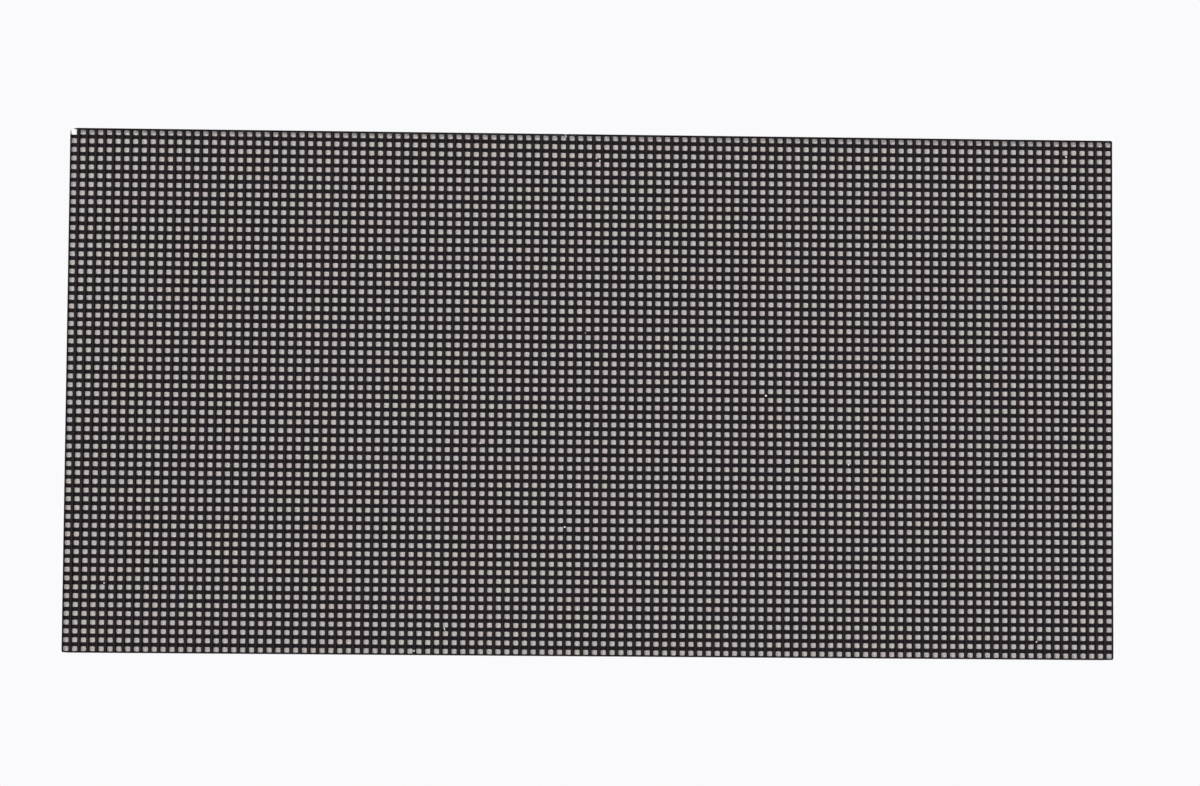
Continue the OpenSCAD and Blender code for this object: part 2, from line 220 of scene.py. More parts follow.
def bar_lines(count, half):
    """Where the bars' edges lie across one direction, from skirt to skirt."""
    lines = [-half]
    for k in range(count):
        centre = (k + 0.5 - count / 2) * PITCH
        lines += [centre - (PITCH - BAR_W) / 2, centre + (PITCH - BAR_W) / 2]
    lines[1] = SKIRT_W - half
    lines[-1] = half - SKIRT_W
    return lines + [half]


def lattice_shape():
    """Bars and skirt around the lamps as one closed shape, with its outer corners drawn in."""
    shape = bmesh.new()
    across, up = 2 * COLUMNS + 1, 2 * ROWS + 1
    bmesh.ops.create_grid(shape, x_segments=across, y_segments=up, size=0.5)
    column = shape.verts.layers.int.new("column")
    row = shape.verts.layers.int.new("row")
    for vert in shape.verts:
        vert[column] = round((vert.co.x + 0.5) * across)
        vert[row] = round((vert.co.y + 0.5) * up)
    windows = [f for f in shape.faces
               if min(v[column] for v in f.verts) % 2 and min(v[row] for v in f.verts) % 2]
    bmesh.ops.delete(shape, geom=windows, context="FACES_ONLY")
    grown = bmesh.ops.extrude_face_region(shape, geom=shape.faces[:])["geom"]
    in_front = {v for v in grown if isinstance(v, bmesh.types.BMVert)}
    lines_x, lines_z = bar_lines(COLUMNS, mask_high.x), bar_lines(ROWS, mask_high.z)
    for vert in shape.verts:
        x, z = lines_x[vert[column]], lines_z[vert[row]]
        if vert[column] in (0, across) and vert[row] in (0, up):
            x -= math.copysign(CORNER_CUT, x)
            z -= math.copysign(CORNER_CUT, z)
        vert.co = (x, ROW_BAR_FRONT if vert in in_front else BOARD_FRONT, z)
    return shape


def add_mask_piece(name, mesh):
    add_piece(name, mesh, MASK_MATERIAL, "face_mask")


add_mask_piece("louvre_lattice", mesh_of("louvre_lattice", lattice_shape()))

# %% [markdown]
# The rim is thin enough to chip. Its outline is walked once, corner by corner, and where a
# chip is listed the walk adds a few points whose front is lowered, so that the break has
# sloping, uneven ends. At the first lamp the whole corner of the rim is gone. The walk makes a
# loop of points, which is extruded from corner to corner of the rim's section and then merged
# with itself. Each point carries its number in the walk, so a copy of it finds its place.

# %% The walk round the rim
CORNER_R = 0.4 * MM
RIM_DRAFT = 0.12 * MM
CORNER_BREAK, BREAK_DEPTH = 1.25 * MM, 0.78 * MM
BREAK_END_DOWN, BREAK_END_RIGHT = 0.2 * MM, 0.15 * MM
# Edge, place along it in mm, width in mm, depth in mm
RIM_CHIPS = (("top", -6.5, 0.9, 0.45), ("bottom", -41.3, 0.7, 0.3),
             ("bottom", -19.5, 0.8, 0.35), ("bottom", -16.9, 0.6, 0.3))
# Where a chip's points lie across its width, and how far down its depth each goes
CHIP_FORM = ((-0.5, 0.0), (-0.38, 0.85), (0.05, 1.0), (0.3, 0.7), (0.5, 0.0))


def broken_corner(half_x, half_z):
    """The rim's points beside its broken corner: two below it, and two to the right of it."""
    in_x, in_z = half_x - RIM_W, half_z - RIM_W
    low_z, right_x = half_z - CORNER_BREAK, CORNER_BREAK - half_x
    below = [((-half_x, z), (-in_x, z), MASK_FRONT + drop * BREAK_DEPTH)
             for z, drop in ((low_z - BREAK_END_DOWN, 0.0), (low_z, 0.7))]
    beside = [((x, half_z), (x, in_z), MASK_FRONT + drop * BREAK_DEPTH)
              for x, drop in ((right_x, 0.9), (right_x + BREAK_END_RIGHT, 0.0))]
    return below, beside


def chip_points(chip, side_z, half_x, half_z):
    """The rim's points across one chip in its top or bottom edge."""
    place, width, depth = chip[1:]
    points = []
    for part, drop in CHIP_FORM:
        x = (place + side_z * part * width) * MM
        front = MASK_FRONT + drop * depth * MM
        points.append(((x, side_z * half_z), (x, side_z * (half_z - RIM_W)), front))
    return points


def rim_walk():
    """Points round the rim: outer corner, inner corner and front, from the top left clockwise."""
    half_x, half_z = mask_high.x, mask_high.z
    walk, beside = broken_corner(half_x, half_z)
    for turn, (side_x, side_z) in enumerate(((-1, 1), (1, 1), (1, -1), (-1, -1))):
        inner = (side_x * (half_x - RIM_W), side_z * (half_z - RIM_W))
        front = MASK_FRONT + (BREAK_DEPTH if turn == 0 else 0.0)
        for k in range(5):
            angle = math.radians(180 - 90 * turn - 90 * k / 4)
            outer = (side_x * (half_x - CORNER_R) + CORNER_R * math.cos(angle),
                     side_z * (half_z - CORNER_R) + CORNER_R * math.sin(angle))
            walk.append((outer, inner, front))
        if turn == 0:
            walk += beside
        edge = {0: "top", 2: "bottom"}.get(turn)
        for chip in sorted((c for c in RIM_CHIPS if c[0] == edge), key=lambda c: c[1] * side_z):
            walk += chip_points(chip, side_z, half_x, half_z)
    return walk


print("points round the rim", len(rim_walk()))

# %% Rim
WELD = 0.0005 * MM


def rim_section(outer, inner, front):
    """The corners of the rim's section at one point of the walk."""
    edge = [c + math.copysign(RIM_DRAFT, c) for c in inner]
    corners = ((outer, ROW_BAR_FRONT), (outer, front), (edge, front), (inner, ROW_BAR_FRONT))
    return [Vector((x, y, z)) for (x, z), y in corners]


def rim_shape():
    """The rim on the lattice as a closed ring."""
    shape = bmesh.new()
    number = shape.verts.layers.int.new("number")
    sections = [rim_section(*point) for point in rim_walk()]
    loop = [shape.verts.new(section[0]) for section in sections]
    for k, vert in enumerate(loop):
        vert[number] = k
    edges = [shape.edges.new(pair) for pair in zip(loop, loop[1:] + loop[:1])]
    for corner in (1, 2, 3, 0):
        grown = bmesh.ops.extrude_edge_only(shape, edges=edges)["geom"]
        edges = [part for part in grown if isinstance(part, bmesh.types.BMEdge)]
        for vert in (part for part in grown if isinstance(part, bmesh.types.BMVert)):
            vert.co = sections[vert[number]][corner]
    bmesh.ops.remove_doubles(shape, verts=shape.verts, dist=WELD)
    bmesh.ops.dissolve_degenerate(shape, dist=WELD, edges=shape.edges)
    return shape


add_mask_piece("louvre_rim", mesh_of("louvre_rim", rim_shape()))

# %% [markdown]
# A column bar is an outline that is extruded along its length. It is narrower in front than at
# its foot, which is the draft that lets the moulding leave the tool. Behind the lattice stand
# round pegs that place the mask in holes of the board.

# %% Extruding and repeating
def prism(outline, along):
    """A closed solid: a flat outline of corners that is extruded along a vector."""
    shape = bmesh.new()
    face = shape.faces.new([shape.verts.new(corner) for corner in outline])
    grown = bmesh.ops.extrude_face_region(shape, geom=[face])["geom"]
    ahead = [v for v in grown if isinstance(v, bmesh.types.BMVert)]
    bmesh.ops.translate(shape, vec=along, verts=ahead)
    return shape


def repeated(name, shape, places):
    """One mesh with a copy of a small closed shape at each of the places."""
    single = mesh_of(name + "_single", shape)
    together = bmesh.new()
    for place in places:
        copy = single.copy()
        copy.transform(place)
        together.from_mesh(copy)
        bpy.data.meshes.remove(copy)
    bpy.data.meshes.remove(single)
    mesh = bpy.data.meshes.new(name)
    together.to_mesh(mesh)
    together.free()
    return mesh


tell("a prism from a square", prism(((0, 0, 0), (1, 0, 0), (1, 1, 0), (0, 1, 0)), (0, 0, 1)))

# %% Column bars and pegs
DRAFT = 0.05 * MM
BROKEN_EDGE = 0.05 * MM
PEG_R = 0.25 * MM


def column_bar_shape():
    """One upright bar whose flanks are drafted and whose front edges are broken."""
    half, front = BAR_W / 2, BAR_W / 2 - DRAFT
    low, high = RIM_W - mask_high.z, mask_high.z - RIM_W
    right = ((front - BROKEN_EDGE, BAR_FRONT), (front, BAR_FRONT + BROKEN_EDGE), (half, ROW_BAR_FRONT))
    left = [(-x, y) for x, y in reversed(right)]
    return prism([(x, y, low) for x, y in left + list(right)], (0, 0, high - low))


def peg_shape():
    """A round peg as long as the board is thick."""
    shape = bmesh.new()
    bmesh.ops.create_cone(shape, cap_ends=True, segments=16, radius1=PEG_R, radius2=PEG_R,
                          depth=BOARD_BACK - BOARD_FRONT)
    bmesh.ops.rotate(shape, matrix=Matrix.Rotation(math.radians(90), 3, "X"), verts=shape.verts)
    return shape


column_places = [Matrix.Translation(((k - COLUMNS / 2) * PITCH, 0, 0)) for k in range(1, COLUMNS)]
peg_places = [Matrix.Translation((x * MM, (BOARD_FRONT + BOARD_BACK) / 2, z * MM))
              for x in range(-100, 101, 40) for z in range(-48, 49, 24)]
add_mask_piece("louvre_column_bars", repeated("louvre_column_bars", column_bar_shape(), column_places))
add_mask_piece("louvre_pegs", repeated("louvre_pegs", peg_shape(), peg_places))

# %% [markdown]
# ## The lamps
#
# Each lamp is a black moulded package with a shallow square cup. The cup holds the three dies
# under a frosted resin, whose surface sinks a little in the middle as it cures. That hollow is
# what makes a lamp brighter on the side away from the light. One package is modelled and
# repeated with tiny random turns, as reflow soldering leaves them, because a perfectly even
# field looks drawn. The module scans its upper and lower rows apart, so the lamps are grouped
# in those two halves.

# %% Lamp places
random.seed(41)
BROKEN_LAMP = (0, ROWS - 1)
# How far reflow shifts a lamp, and how many degrees it tips and turns it
LAMP_SHIFT, LAMP_TIP, LAMP_TURN = 0.006 * MM, 0.5, 0.35


def lamp_centre(column_index, row_index):
    """The middle of a lamp's front, with columns from the left and rows from below."""
    return Vector(((column_index + 0.5 - COLUMNS / 2) * PITCH, LAMP_FRONT,
                   (row_index + 0.5 - ROWS / 2) * PITCH))


def lamp_places(rows):
    """Where each whole lamp of some rows stands: on the board, a little turned and tipped."""
    places = []
    for row_index in rows:
        for column_index in range(COLUMNS):
            if (column_index, row_index) == BROKEN_LAMP:
                continue
            shift = Vector((random.gauss(0, LAMP_SHIFT), 0, random.gauss(0, LAMP_SHIFT)))
            tip = Matrix.Rotation(math.radians(random.gauss(0, LAMP_TIP)), 4, "X")
            lean = Matrix.Rotation(math.radians(random.gauss(0, LAMP_TIP)), 4, "Z")
            turn = Matrix.Rotation(math.radians(random.gauss(0, LAMP_TURN)), 4, "Y")
            spot = Matrix.Translation(lamp_centre(column_index, row_index) + shift)
            places.append(spot @ turn @ tip @ lean)
    return places


HALVES = {"upper": lamp_places(range(ROWS // 2, ROWS)), "lower": lamp_places(range(ROWS // 2))}
print("whole lamps", {half: len(places) for half, places in HALVES.items()})

# %% One lamp package
CUP_W, CUP_H = 1.2 * MM, 1.1 * MM
CUP_DEPTH, CUP_DRAFT = 0.18 * MM, 0.03 * MM
PACKAGE_W = LAMP_W - 0.02 * MM


def block_shape(width, depth, height, y=0.0):
    """A closed block centred on X and Z whose front face lies at y, facing -Y."""
    shape = bmesh.new()
    bmesh.ops.create_cube(shape, size=1.0)
    bmesh.ops.scale(shape, vec=(width, depth, height), verts=shape.verts)
    bmesh.ops.translate(shape, vec=(0, y + depth / 2, 0), verts=shape.verts)
    return shape


def facing(shape, direction):
    """The faces whose normal points along a direction."""
    shape.normal_update()
    return [f for f in shape.faces if f.normal.dot(Vector(direction)) > 0.9]


def package_shape():
    """A black package: a block with a cup sunk into its front."""
    shape = block_shape(PACKAGE_W, BOARD_FRONT - LAMP_FRONT, PACKAGE_W)
    front = facing(shape, (0, -1, 0))
    bmesh.ops.inset_region(shape, faces=front, thickness=(LAMP_W - CUP_W) / 2)
    front = [f for f in facing(shape, (0, -1, 0)) if f.calc_area() > 0.5 * CUP_W ** 2]
    bmesh.ops.inset_region(shape, faces=front, thickness=CUP_DRAFT, depth=-CUP_DEPTH)
    cup = [v for v in shape.verts if abs(v.co.x) < 0.51 * CUP_W]
    bmesh.ops.scale(shape, vec=(1.0, 1.0, CUP_H / CUP_W), verts=cup)
    return shape


tell("a lamp package", package_shape())

# %% Its resin
RESIN_W = CUP_W - 0.02 * MM
# How deep the resin's front lies at its rim and at its middle, and how deep its back lies
RESIN_RIM, RESIN_MIDDLE, RESIN_BACK = 0.005 * MM, 0.15 * MM, 0.175 * MM
CORNER_IN, BACK_IN = 0.93, 0.94


def resin_shape():
    """The resin in the cup: a thin slab whose front sinks towards its middle."""
    shape = bmesh.new()
    bmesh.ops.create_grid(shape, x_segments=2, y_segments=2, size=RESIN_W / 2)
    bmesh.ops.rotate(shape, matrix=Matrix.Rotation(math.radians(90), 3, "X"), verts=shape.verts)
    grown = bmesh.ops.extrude_face_region(shape, geom=shape.faces[:])["geom"]
    in_front = {v for v in grown if isinstance(v, bmesh.types.BMVert)}
    for vert in shape.verts:
        across, up = abs(vert.co.x), abs(vert.co.z)
        if min(across, up) > CUP_W / 4:
            vert.co *= CORNER_IN
        if vert in in_front:
            from_middle = max(across, up) / (CUP_W / 2)
            vert.co.y = RESIN_MIDDLE + (RESIN_RIM - RESIN_MIDDLE) * from_middle
        else:
            vert.co *= BACK_IN
            vert.co.y = RESIN_BACK
    bmesh.ops.scale(shape, vec=(1.0, 1.0, CUP_H / CUP_W), verts=shape.verts)
    return shape


tell("the resin of a lamp", resin_shape())

# %% [markdown]
# The package is black epoxy moulding compound, a touch glossier than the mask. The resin is
# clear epoxy filled with fine glass powder, so it looks like ground glass over the pale cup:
# a mid grey with a faint hint of the dies behind it. No two lamps come from the same mix, so
# each has its own slight tint. Noises that are read at the number of the lamp's own cell in
# the field, not at the spot itself, give every lamp one tint and one brightness. The powder
# is far finer than a render can show, so its grain is drawn at 0.12 mm.

# %% Lamp materials
def package_epoxy():
    material, tree, place = new_material("black_lamp_epoxy")
    tone = drifting(tree, place, 3 * MM, "#1c191a", "#272324", 2.0)
    shader = add_node(tree, "ShaderNodeBsdfPrincipled", {
        "Base Color": tone, "Roughness": 0.5, "Specular IOR Level": 0.2})
    add_node(tree, "ShaderNodeOutputMaterial", {"Surface": shader})
    return material


RESIN_TINTS = ("#bbafac", "#b9b0a9", "#b7b0aa", "#b6afab", "#b4b0ad", "#b7aeaf", "#baaeaa")


def lamp_tint(tree, place):
    """One colour for each lamp: a tint from its batch, a green cast and a brightness."""
    corner = add_node(tree, "ShaderNodeVectorMath", {
        0: place, 1: (COLUMNS * PITCH, 0.0, ROWS * PITCH)}, operation="ADD")
    cell = add_node(tree, "ShaderNodeVectorMath", {0: corner, 1: (PITCH, 1.0, PITCH)}, operation="DIVIDE")
    number = add_node(tree, "ShaderNodeVectorMath", {0: cell}, operation="FLOOR")
    batch = add_node(tree, "ShaderNodeTexNoise", {"Vector": number, "Scale": 0.37, "Detail": 1.0})
    cast = add_node(tree, "ShaderNodeSeparateColor", {"Color": batch.outputs["Color"]})
    warmth = add_node(tree, "ShaderNodeMapRange", {"Value": cast, "From Min": 0.22, "From Max": 0.78})
    tints = add_node(tree, "ShaderNodeValToRGB", {"Fac": warmth})
    while len(tints.color_ramp.elements) < len(RESIN_TINTS):
        tints.color_ramp.elements.new(0.5)
    for k, (stop, colour) in enumerate(zip(tints.color_ramp.elements, RESIN_TINTS)):
        stop.position = k / (len(RESIN_TINTS) - 1)
        stop.color = linear(colour)
    dice = add_node(tree, "ShaderNodeTexWhiteNoise", {"Vector": number})
    level = add_node(tree, "ShaderNodeMapRange", {"Value": dice, "To Min": 0.985, "To Max": 1.015})
    levelled = add_node(tree, "ShaderNodeVectorMath", {0: tints, "Scale": level}, operation="SCALE")
    green = add_node(tree, "ShaderNodeMapRange", {
        "Value": cast.outputs["Green"], "From Min": 0.25, "From Max": 0.75, "To Min": 0.95, "To Max": 1.05})
    green_cast = add_node(tree, "ShaderNodeCombineXYZ", {"X": 1.0, "Y": green, "Z": 1.0})
    return add_node(tree, "ShaderNodeVectorMath", {0: levelled, 1: green_cast}, operation="MULTIPLY")


def frosted_resin():
    material, tree, place = new_material("frosted_lamp_resin")
    clouds = add_node(tree, "ShaderNodeTexNoise", {"Vector": place, "Scale": 1 / (0.5 * MM), "Detail": 1.0})
    cloudy = add_node(tree, "ShaderNodeMapRange", {
        "Value": clouds, "From Min": 0.3, "From Max": 0.7, "To Min": 0.93, "To Max": 1.07})
    milky = add_node(tree, "ShaderNodeVectorMath", {
        0: lamp_tint(tree, place), "Scale": cloudy}, operation="SCALE")
    bump = grain_bump(tree, place, 0.12 * MM, 0.2, 0.01 * MM)
    shader = add_node(tree, "ShaderNodeBsdfPrincipled", {
        "Base Color": milky, "Roughness": 0.42, "Specular IOR Level": 0.35, "Normal": bump})
    add_node(tree, "ShaderNodeOutputMaterial", {"Surface": shader})
    return material


PACKAGE_MATERIAL, RESIN_MATERIAL = package_epoxy(), frosted_resin()
print("nodes in the resin", len(RESIN_MATERIAL.node_tree.nodes))

# %% Lamp field
for half, places in HALVES.items():
    packages = repeated(f"lamp_packages_{half}", package_shape(), places)
    add_piece(f"lamp_packages_{half}", packages, PACKAGE_MATERIAL, "led_packages")
    resins = repeated(f"lamp_resin_{half}", resin_shape(), places)
    add_piece(f"lamp_resin_{half}", resins, RESIN_MATERIAL, "led_packages", 40)

# %% [markdown]
# ## Wear and painted glints on the face
#
# This module has been knocked. The lamp in the top left corner has lost its black skin and its
# resin, so the bright white housing beneath shows. Here and there a white fleck sits on the
# mask or on a lamp: a crumb of such a housing, or a scratch that went through the black skin.
# Three spots on lamps of the top row are painted highlights: glints on the resin, drawn as white flecks.
# The housing is PPA, a polyamide that is filled with white pigment to reflect the dies' light:
# chalky, very pale, and rough and crumbly where it broke.

# %% White housing
def white_housing():
    material, tree, place = new_material("white_lamp_housing")
    crumble = add_node(tree, "ShaderNodeTexNoise", {"Vector": place, "Scale": 1 / (0.2 * MM), "Detail": 3.0})
    tone = add_node(tree, "ShaderNodeMix", {
        "Factor": crumble, "A": linear("#dcdcda"), "B": linear("#eaeae8")}, data_type="RGBA")
    bump = add_node(tree, "ShaderNodeBump", {"Height": crumble, "Strength": 0.3, "Distance": 0.02 * MM})
    shader = add_node(tree, "ShaderNodeBsdfPrincipled", {
        "Base Color": tone, "Roughness": 0.5, "Normal": bump})
    add_node(tree, "ShaderNodeOutputMaterial", {"Surface": shader})
    return material


WHITE_HOUSING = white_housing()
print("white housing", len(WHITE_HOUSING.node_tree.nodes), "nodes")

# %% [markdown]
# The broken lamp starts as a whole package. It is made a little smaller, its front and what
# was its cup become one rough, uneven surface, and its outer sides are drawn out to the edge
# of the module, where the rim no longer covers them.

# %% Broken lamp
BROKEN_SCALE = 0.86
FURTHEST_FRONT, NEAREST_FRONT = -0.2 * MM, -0.13 * MM


def add_broken_lamp(material):
    """The corner lamp's white housing: rough, filled with its own crumbs, and pushed outwards."""
    shape = package_shape()
    bmesh.ops.scale(shape, vec=(BROKEN_SCALE, 1.0, BROKEN_SCALE), verts=shape.verts)
    to_edge = mask_high.x - (COLUMNS - 1) * PITCH / 2 - 0.01 * MM
    push = to_edge - BROKEN_SCALE * LAMP_W / 2
    for vert in shape.verts:
        if vert.co.y > 1.5 * CUP_DEPTH:
            continue
        vert.co.y = random.uniform(FURTHEST_FRONT, NEAREST_FRONT)
        if vert.co.x < -0.3 * LAMP_W:
            vert.co.x -= push
        if vert.co.z > 0.3 * LAMP_W:
            vert.co.z += push
    mesh = repeated("broken_corner_lamp", shape, [Matrix.Translation(lamp_centre(*BROKEN_LAMP))])
    add_piece("broken_corner_lamp", mesh, material, "led_packages")


add_broken_lamp(WHITE_HOUSING)

# %% White flecks and painted glints
FLECK_THICK = 0.16 * MM
FLECK_SUNK = 0.03 * MM
# Column and row, counted from the top left lamp's outer corner, length and width in mm
FLECKS_AND_GLINTS = ((60.31, 2.8, 0.4, 0.3), (60.71, 3.09, 0.42, 0.36), (114.64, 1.98, 0.5, 0.4),
          (59.18, 22.98, 0.5, 0.3), (79.95, 30.0, 0.55, 0.5), (47.23, 35.74, 0.6, 0.42),
          (89.49, 37.82, 0.5, 0.36), (56.99, 45.26, 0.34, 0.55), (4.73, 52.03, 0.42, 0.36),
          (43.36, 56.9, 1.05, 0.26), (39.95, 59.47, 0.42, 0.4), (111.08, 57.92, 0.38, 0.34),
          (39.36, 59.86, 0.5, 0.4), (50.24, 59.87, 0.6, 0.34), (51.56, 59.88, 0.5, 0.34),
          # The first three on this line, on lamps of the top row, are painted highlights: glints drawn as
          # white flecks
          (55.46, 0.36, 0.5, 0.45), (61.44, 0.4, 0.5, 0.45), (62.49, 0.38, 0.45, 0.5),
          (56.78, 0.2, 0.8, 0.36))


def on_what(column):
    """How far forward a spot on the face lies: on a column bar, or on a lamp or row bar."""
    off_column = abs((column + 0.5) % 1 - 0.5) * PITCH
    return BAR_FRONT if off_column < BAR_W / 2 else ROW_BAR_FRONT


def fleck_shape(length, width, slant):
    """One flat, uneven white spot on the XZ plane: a crumb, or a painted glint."""
    shape = bmesh.new()
    bmesh.ops.create_icosphere(shape, subdivisions=2, radius=0.5)
    for vert in shape.verts:
        vert.co *= random.uniform(0.78, 1.0)
    bmesh.ops.scale(shape, vec=(width * MM, FLECK_THICK, length * MM), verts=shape.verts)
    bmesh.ops.rotate(shape, matrix=Matrix.Rotation(slant, 3, "Y"), verts=shape.verts)
    return shape


def add_flecks_and_glints(material):
    together = bmesh.new()
    for column, row, length, width in FLECKS_AND_GLINTS:
        slant = -0.35 if length > 2 * width else random.uniform(0, math.pi)
        fleck = fleck_shape(length, width, slant)
        forward = max(on_what(column) - FLECK_SUNK, MASK_FRONT + FLECK_THICK / 2)
        spot = Vector(((column - COLUMNS / 2) * PITCH, forward, (ROWS / 2 - row) * PITCH))
        bmesh.ops.translate(fleck, vec=spot, verts=fleck.verts)
        for vert in fleck.verts:
            vert.co.z = min(max(vert.co.z, mask_low.z), mask_high.z)
        mesh = mesh_of("fleck", fleck)
        together.from_mesh(mesh)
        bpy.data.meshes.remove(mesh)
    add_piece("white_flecks_and_glints", mesh_of("white_flecks_and_glints", together), material, None, 60)


add_flecks_and_glints(WHITE_HOUSING)

# %% [markdown]
# ## Reading places from the frame
#
# The back of the board carries dozens of small parts, each kind held in one CAD node. A node
# is split into its separate solids, and each solid's box says where one detailed part goes and
# how large it is. No place is typed twice, so a part can't drift from the chip it stands for.

# %% Solids of a CAD node
CAD_WELD = 0.001 * MM
FLAT_ANGLE, HARD_ANGLE = math.radians(1), math.radians(35)


def cad_shape(node):
    """The mesh of a CAD node with its split corners welded and its flat faces made whole."""
    shape = bmesh.new()
    shape.from_mesh(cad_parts[node].data)
    bmesh.ops.remove_doubles(shape, verts=shape.verts, dist=CAD_WELD)
    bmesh.ops.dissolve_limit(shape, angle_limit=FLAT_ANGLE, verts=shape.verts, edges=shape.edges)
    return shape


def solids_in(node):
    """The low and high corner of each separate solid in a CAD node, from left to right."""
    shape = cad_shape(node)
    left, boxes = set(shape.verts), []
    while left:
        reached = [left.pop()]
        for vert in reached:
            for edge in vert.link_edges:
                other = edge.other_vert(vert)
                if other in left:
                    left.remove(other)
                    reached.append(other)
        low = Vector([min(v.co[axis] for v in reached) for axis in range(3)])
        high = Vector([max(v.co[axis] for v in reached) for axis in range(3)])
        boxes.append((low, high))
    shape.free()
    return sorted(boxes, key=lambda pair: (round(pair[0].x, 5), round(pair[0].z, 5)))


print("driver chips", len(solids_in("driver_chips")), "screws", len(solids_in("frame_screws")))


def softened(node, offset, segments=1, chosen=None):
    """A CAD node's own mesh with its hard edges bevelled, as moulding and machining leave them."""
    shape = cad_shape(node)
    hard = [e for e in shape.edges if len(e.link_faces) == 2 and e.calc_face_angle(0.0) > HARD_ANGLE]
    if chosen:
        hard = [e for e in hard if chosen(e)]
    bmesh.ops.bevel(shape, geom=hard, offset=offset, offset_type="OFFSET", segments=segments,
                    profile=0.5, affect="EDGES", clamp_overlap=True, material=-1)
    return mesh_of(node + "_softened", shape)


# %% [markdown]
# ## Finishes behind the board
#
# Most of the pieces share a few plain finishes: moulded plastic with a fine grain, chip epoxy,
# bright tin, gold and brass. Each is a noise in tone with a fine bump, and differs in colour,
# gloss and the size of its grain, so one function makes them all. A spark-eroded plastic has a
# real grain of a few tenths of a millimetre, and is drawn at its own size. The grain of plated,
# turned or fired surfaces is a few hundredths at most, too fine to show, so it is drawn at one
# to three tenths of a millimetre, and faint.

# %% Shared finishes
def grained(name, dark, light, roughness, metallic=0.0, grain=0.3, strength=0.2, broad=6.0, soaked=0.0):
    """A finish whose tone drifts between two colours and whose surface has a fine grain, in mm."""
    material, tree, place = new_material(name)
    tone = drifting(tree, place, broad * MM, dark, light)
    bump = grain_bump(tree, place, grain * MM, strength, 0.02 * MM)
    shader = add_node(tree, "ShaderNodeBsdfPrincipled", {
        "Base Color": tone, "Roughness": roughness, "Metallic": metallic, "Normal": bump,
        "Subsurface Weight": soaked, "Subsurface Scale": 0.6 * MM})
    add_node(tree, "ShaderNodeOutputMaterial", {"Surface": shader})
    return material


# Moulded against a spark-eroded tool: a soft, even black without a clear reflection
FRAME_PLASTIC = grained("textured_black_abs", "#1b1b1d", "#232325", 0.55, grain=0.35, strength=0.45)
# Transfer-moulded and full of silica: dull, sandy and a little grey
CHIP_EPOXY = grained("black_chip_epoxy", "#1d1d1f", "#28282b", 0.6, grain=0.12, strength=0.3)
# Glass-filled polyester from a smooth tool: a deeper black with a satin gleam
HEADER_PBT = grained("black_header_pbt", "#18181a", "#202022", 0.42, grain=0.25, strength=0.2)
# Undyed nylon: a warm white that lets a little light in, so its edges look soft
HEADER_NYLON = grained("natural_white_nylon", "#d9d5c6", "#e6e2d6", 0.38, grain=0.4, strength=0.15,
                       soaked=0.08)
# Plated from a bath: a pale grey metal that mirrors only broadly
TIN = grained("bright_tin_plate", "#b9bbbd", "#d0d2d4", 0.26, 1.0, grain=0.2, strength=0.15, broad=1.5)
# Melted from paste and set: greyer than the tin, and lumpy
SOLDER = grained("soft_grey_solder", "#a9abad", "#c6c8c9", 0.34, 1.0, grain=0.12, strength=0.4, broad=0.8)
# A thin plating on smooth pins: a clear yellow glint
GOLD = grained("flash_gold_plate", "#d8b25a", "#e9c878", 0.22, 1.0, grain=0.3, strength=0.08, broad=2.0)
# Turned on a lathe and left bare: browner and duller than the gold
BRASS = grained("turned_brass", "#b89248", "#cfab62", 0.28, 1.0, grain=0.15, strength=0.2, broad=3.0)
# Steel with a clear passivated plating: a cool grey with soft highlights
ZINC = grained("zinc_plated_steel", "#a6a9ad", "#c3c6ca", 0.3, 1.0, grain=0.2, strength=0.15, broad=2.0)
# Deep-drawn from thin sheet: almost white, smooth and evenly bright
ALUMINIUM = grained("drawn_aluminium", "#c9cacc", "#dcdddf", 0.24, 1.0, grain=0.5, strength=0.08, broad=4.0)
# Fired and snapped from a scored plate: chalk white and quite dull
CERAMIC = grained("white_alumina", "#cfcdc6", "#e2e0da", 0.5, grain=0.1, strength=0.2, broad=0.6)
# Glass printed and fired over the resistor: black, and the glossiest of the small parts
RESISTOR_GLASS = grained("black_resistor_glass", "#141416", "#202023", 0.25, grain=0.2, strength=0.1)
# Fired barium titanate: an eggshell tan
CAPACITOR_CERAMIC = grained("tan_capacitor_ceramic", "#8c7152", "#a18765", 0.45, grain=0.1, strength=0.2)
print("materials so far", len(bpy.data.materials))

# %% [markdown]
# ## The circuit board
#
# The board stays the CAD solid and only takes a finish. Its front is printed black, so that no
# green shows beside the lamps. Its back is green solder mask over copper: every lamp needs four
# connections, so the back is full of vias on the lamps' own pitch with fine traces between
# them. Each layer of the pattern is worked out from the board's own coordinates. Real traces
# are about 0.1 mm wide, and are drawn at 0.17 mm so that they show.

# %% Traces and vias
TRACE_PITCH, TRACE_W = 0.5 * MM, 0.17 * MM
# Where a via lies in its cell and how large its land and its hole are, as shares of the pitch
VIA_AT = (0.25, 0.0, 0.25)
VIA_LAND, VIA_HOLE = 0.13, 0.05


def line_pattern(tree, along, spacing, width):
    """One where a coordinate lies within a line that repeats at a spacing, both in metres."""
    steps = add_node(tree, "ShaderNodeMath", {0: along, 1: spacing}, operation="DIVIDE")
    part = add_node(tree, "ShaderNodeMath", {0: steps}, operation="FRACT")
    offset = add_node(tree, "ShaderNodeMath", {0: part, 1: 0.5}, operation="SUBTRACT")
    away = add_node(tree, "ShaderNodeMath", {0: offset}, operation="ABSOLUTE")
    return add_node(tree, "ShaderNodeMapRange", {
        "Value": away, "From Min": 0.5 * width / spacing, "From Max": 0.7 * width / spacing,
        "To Min": 1.0, "To Max": 0.0})


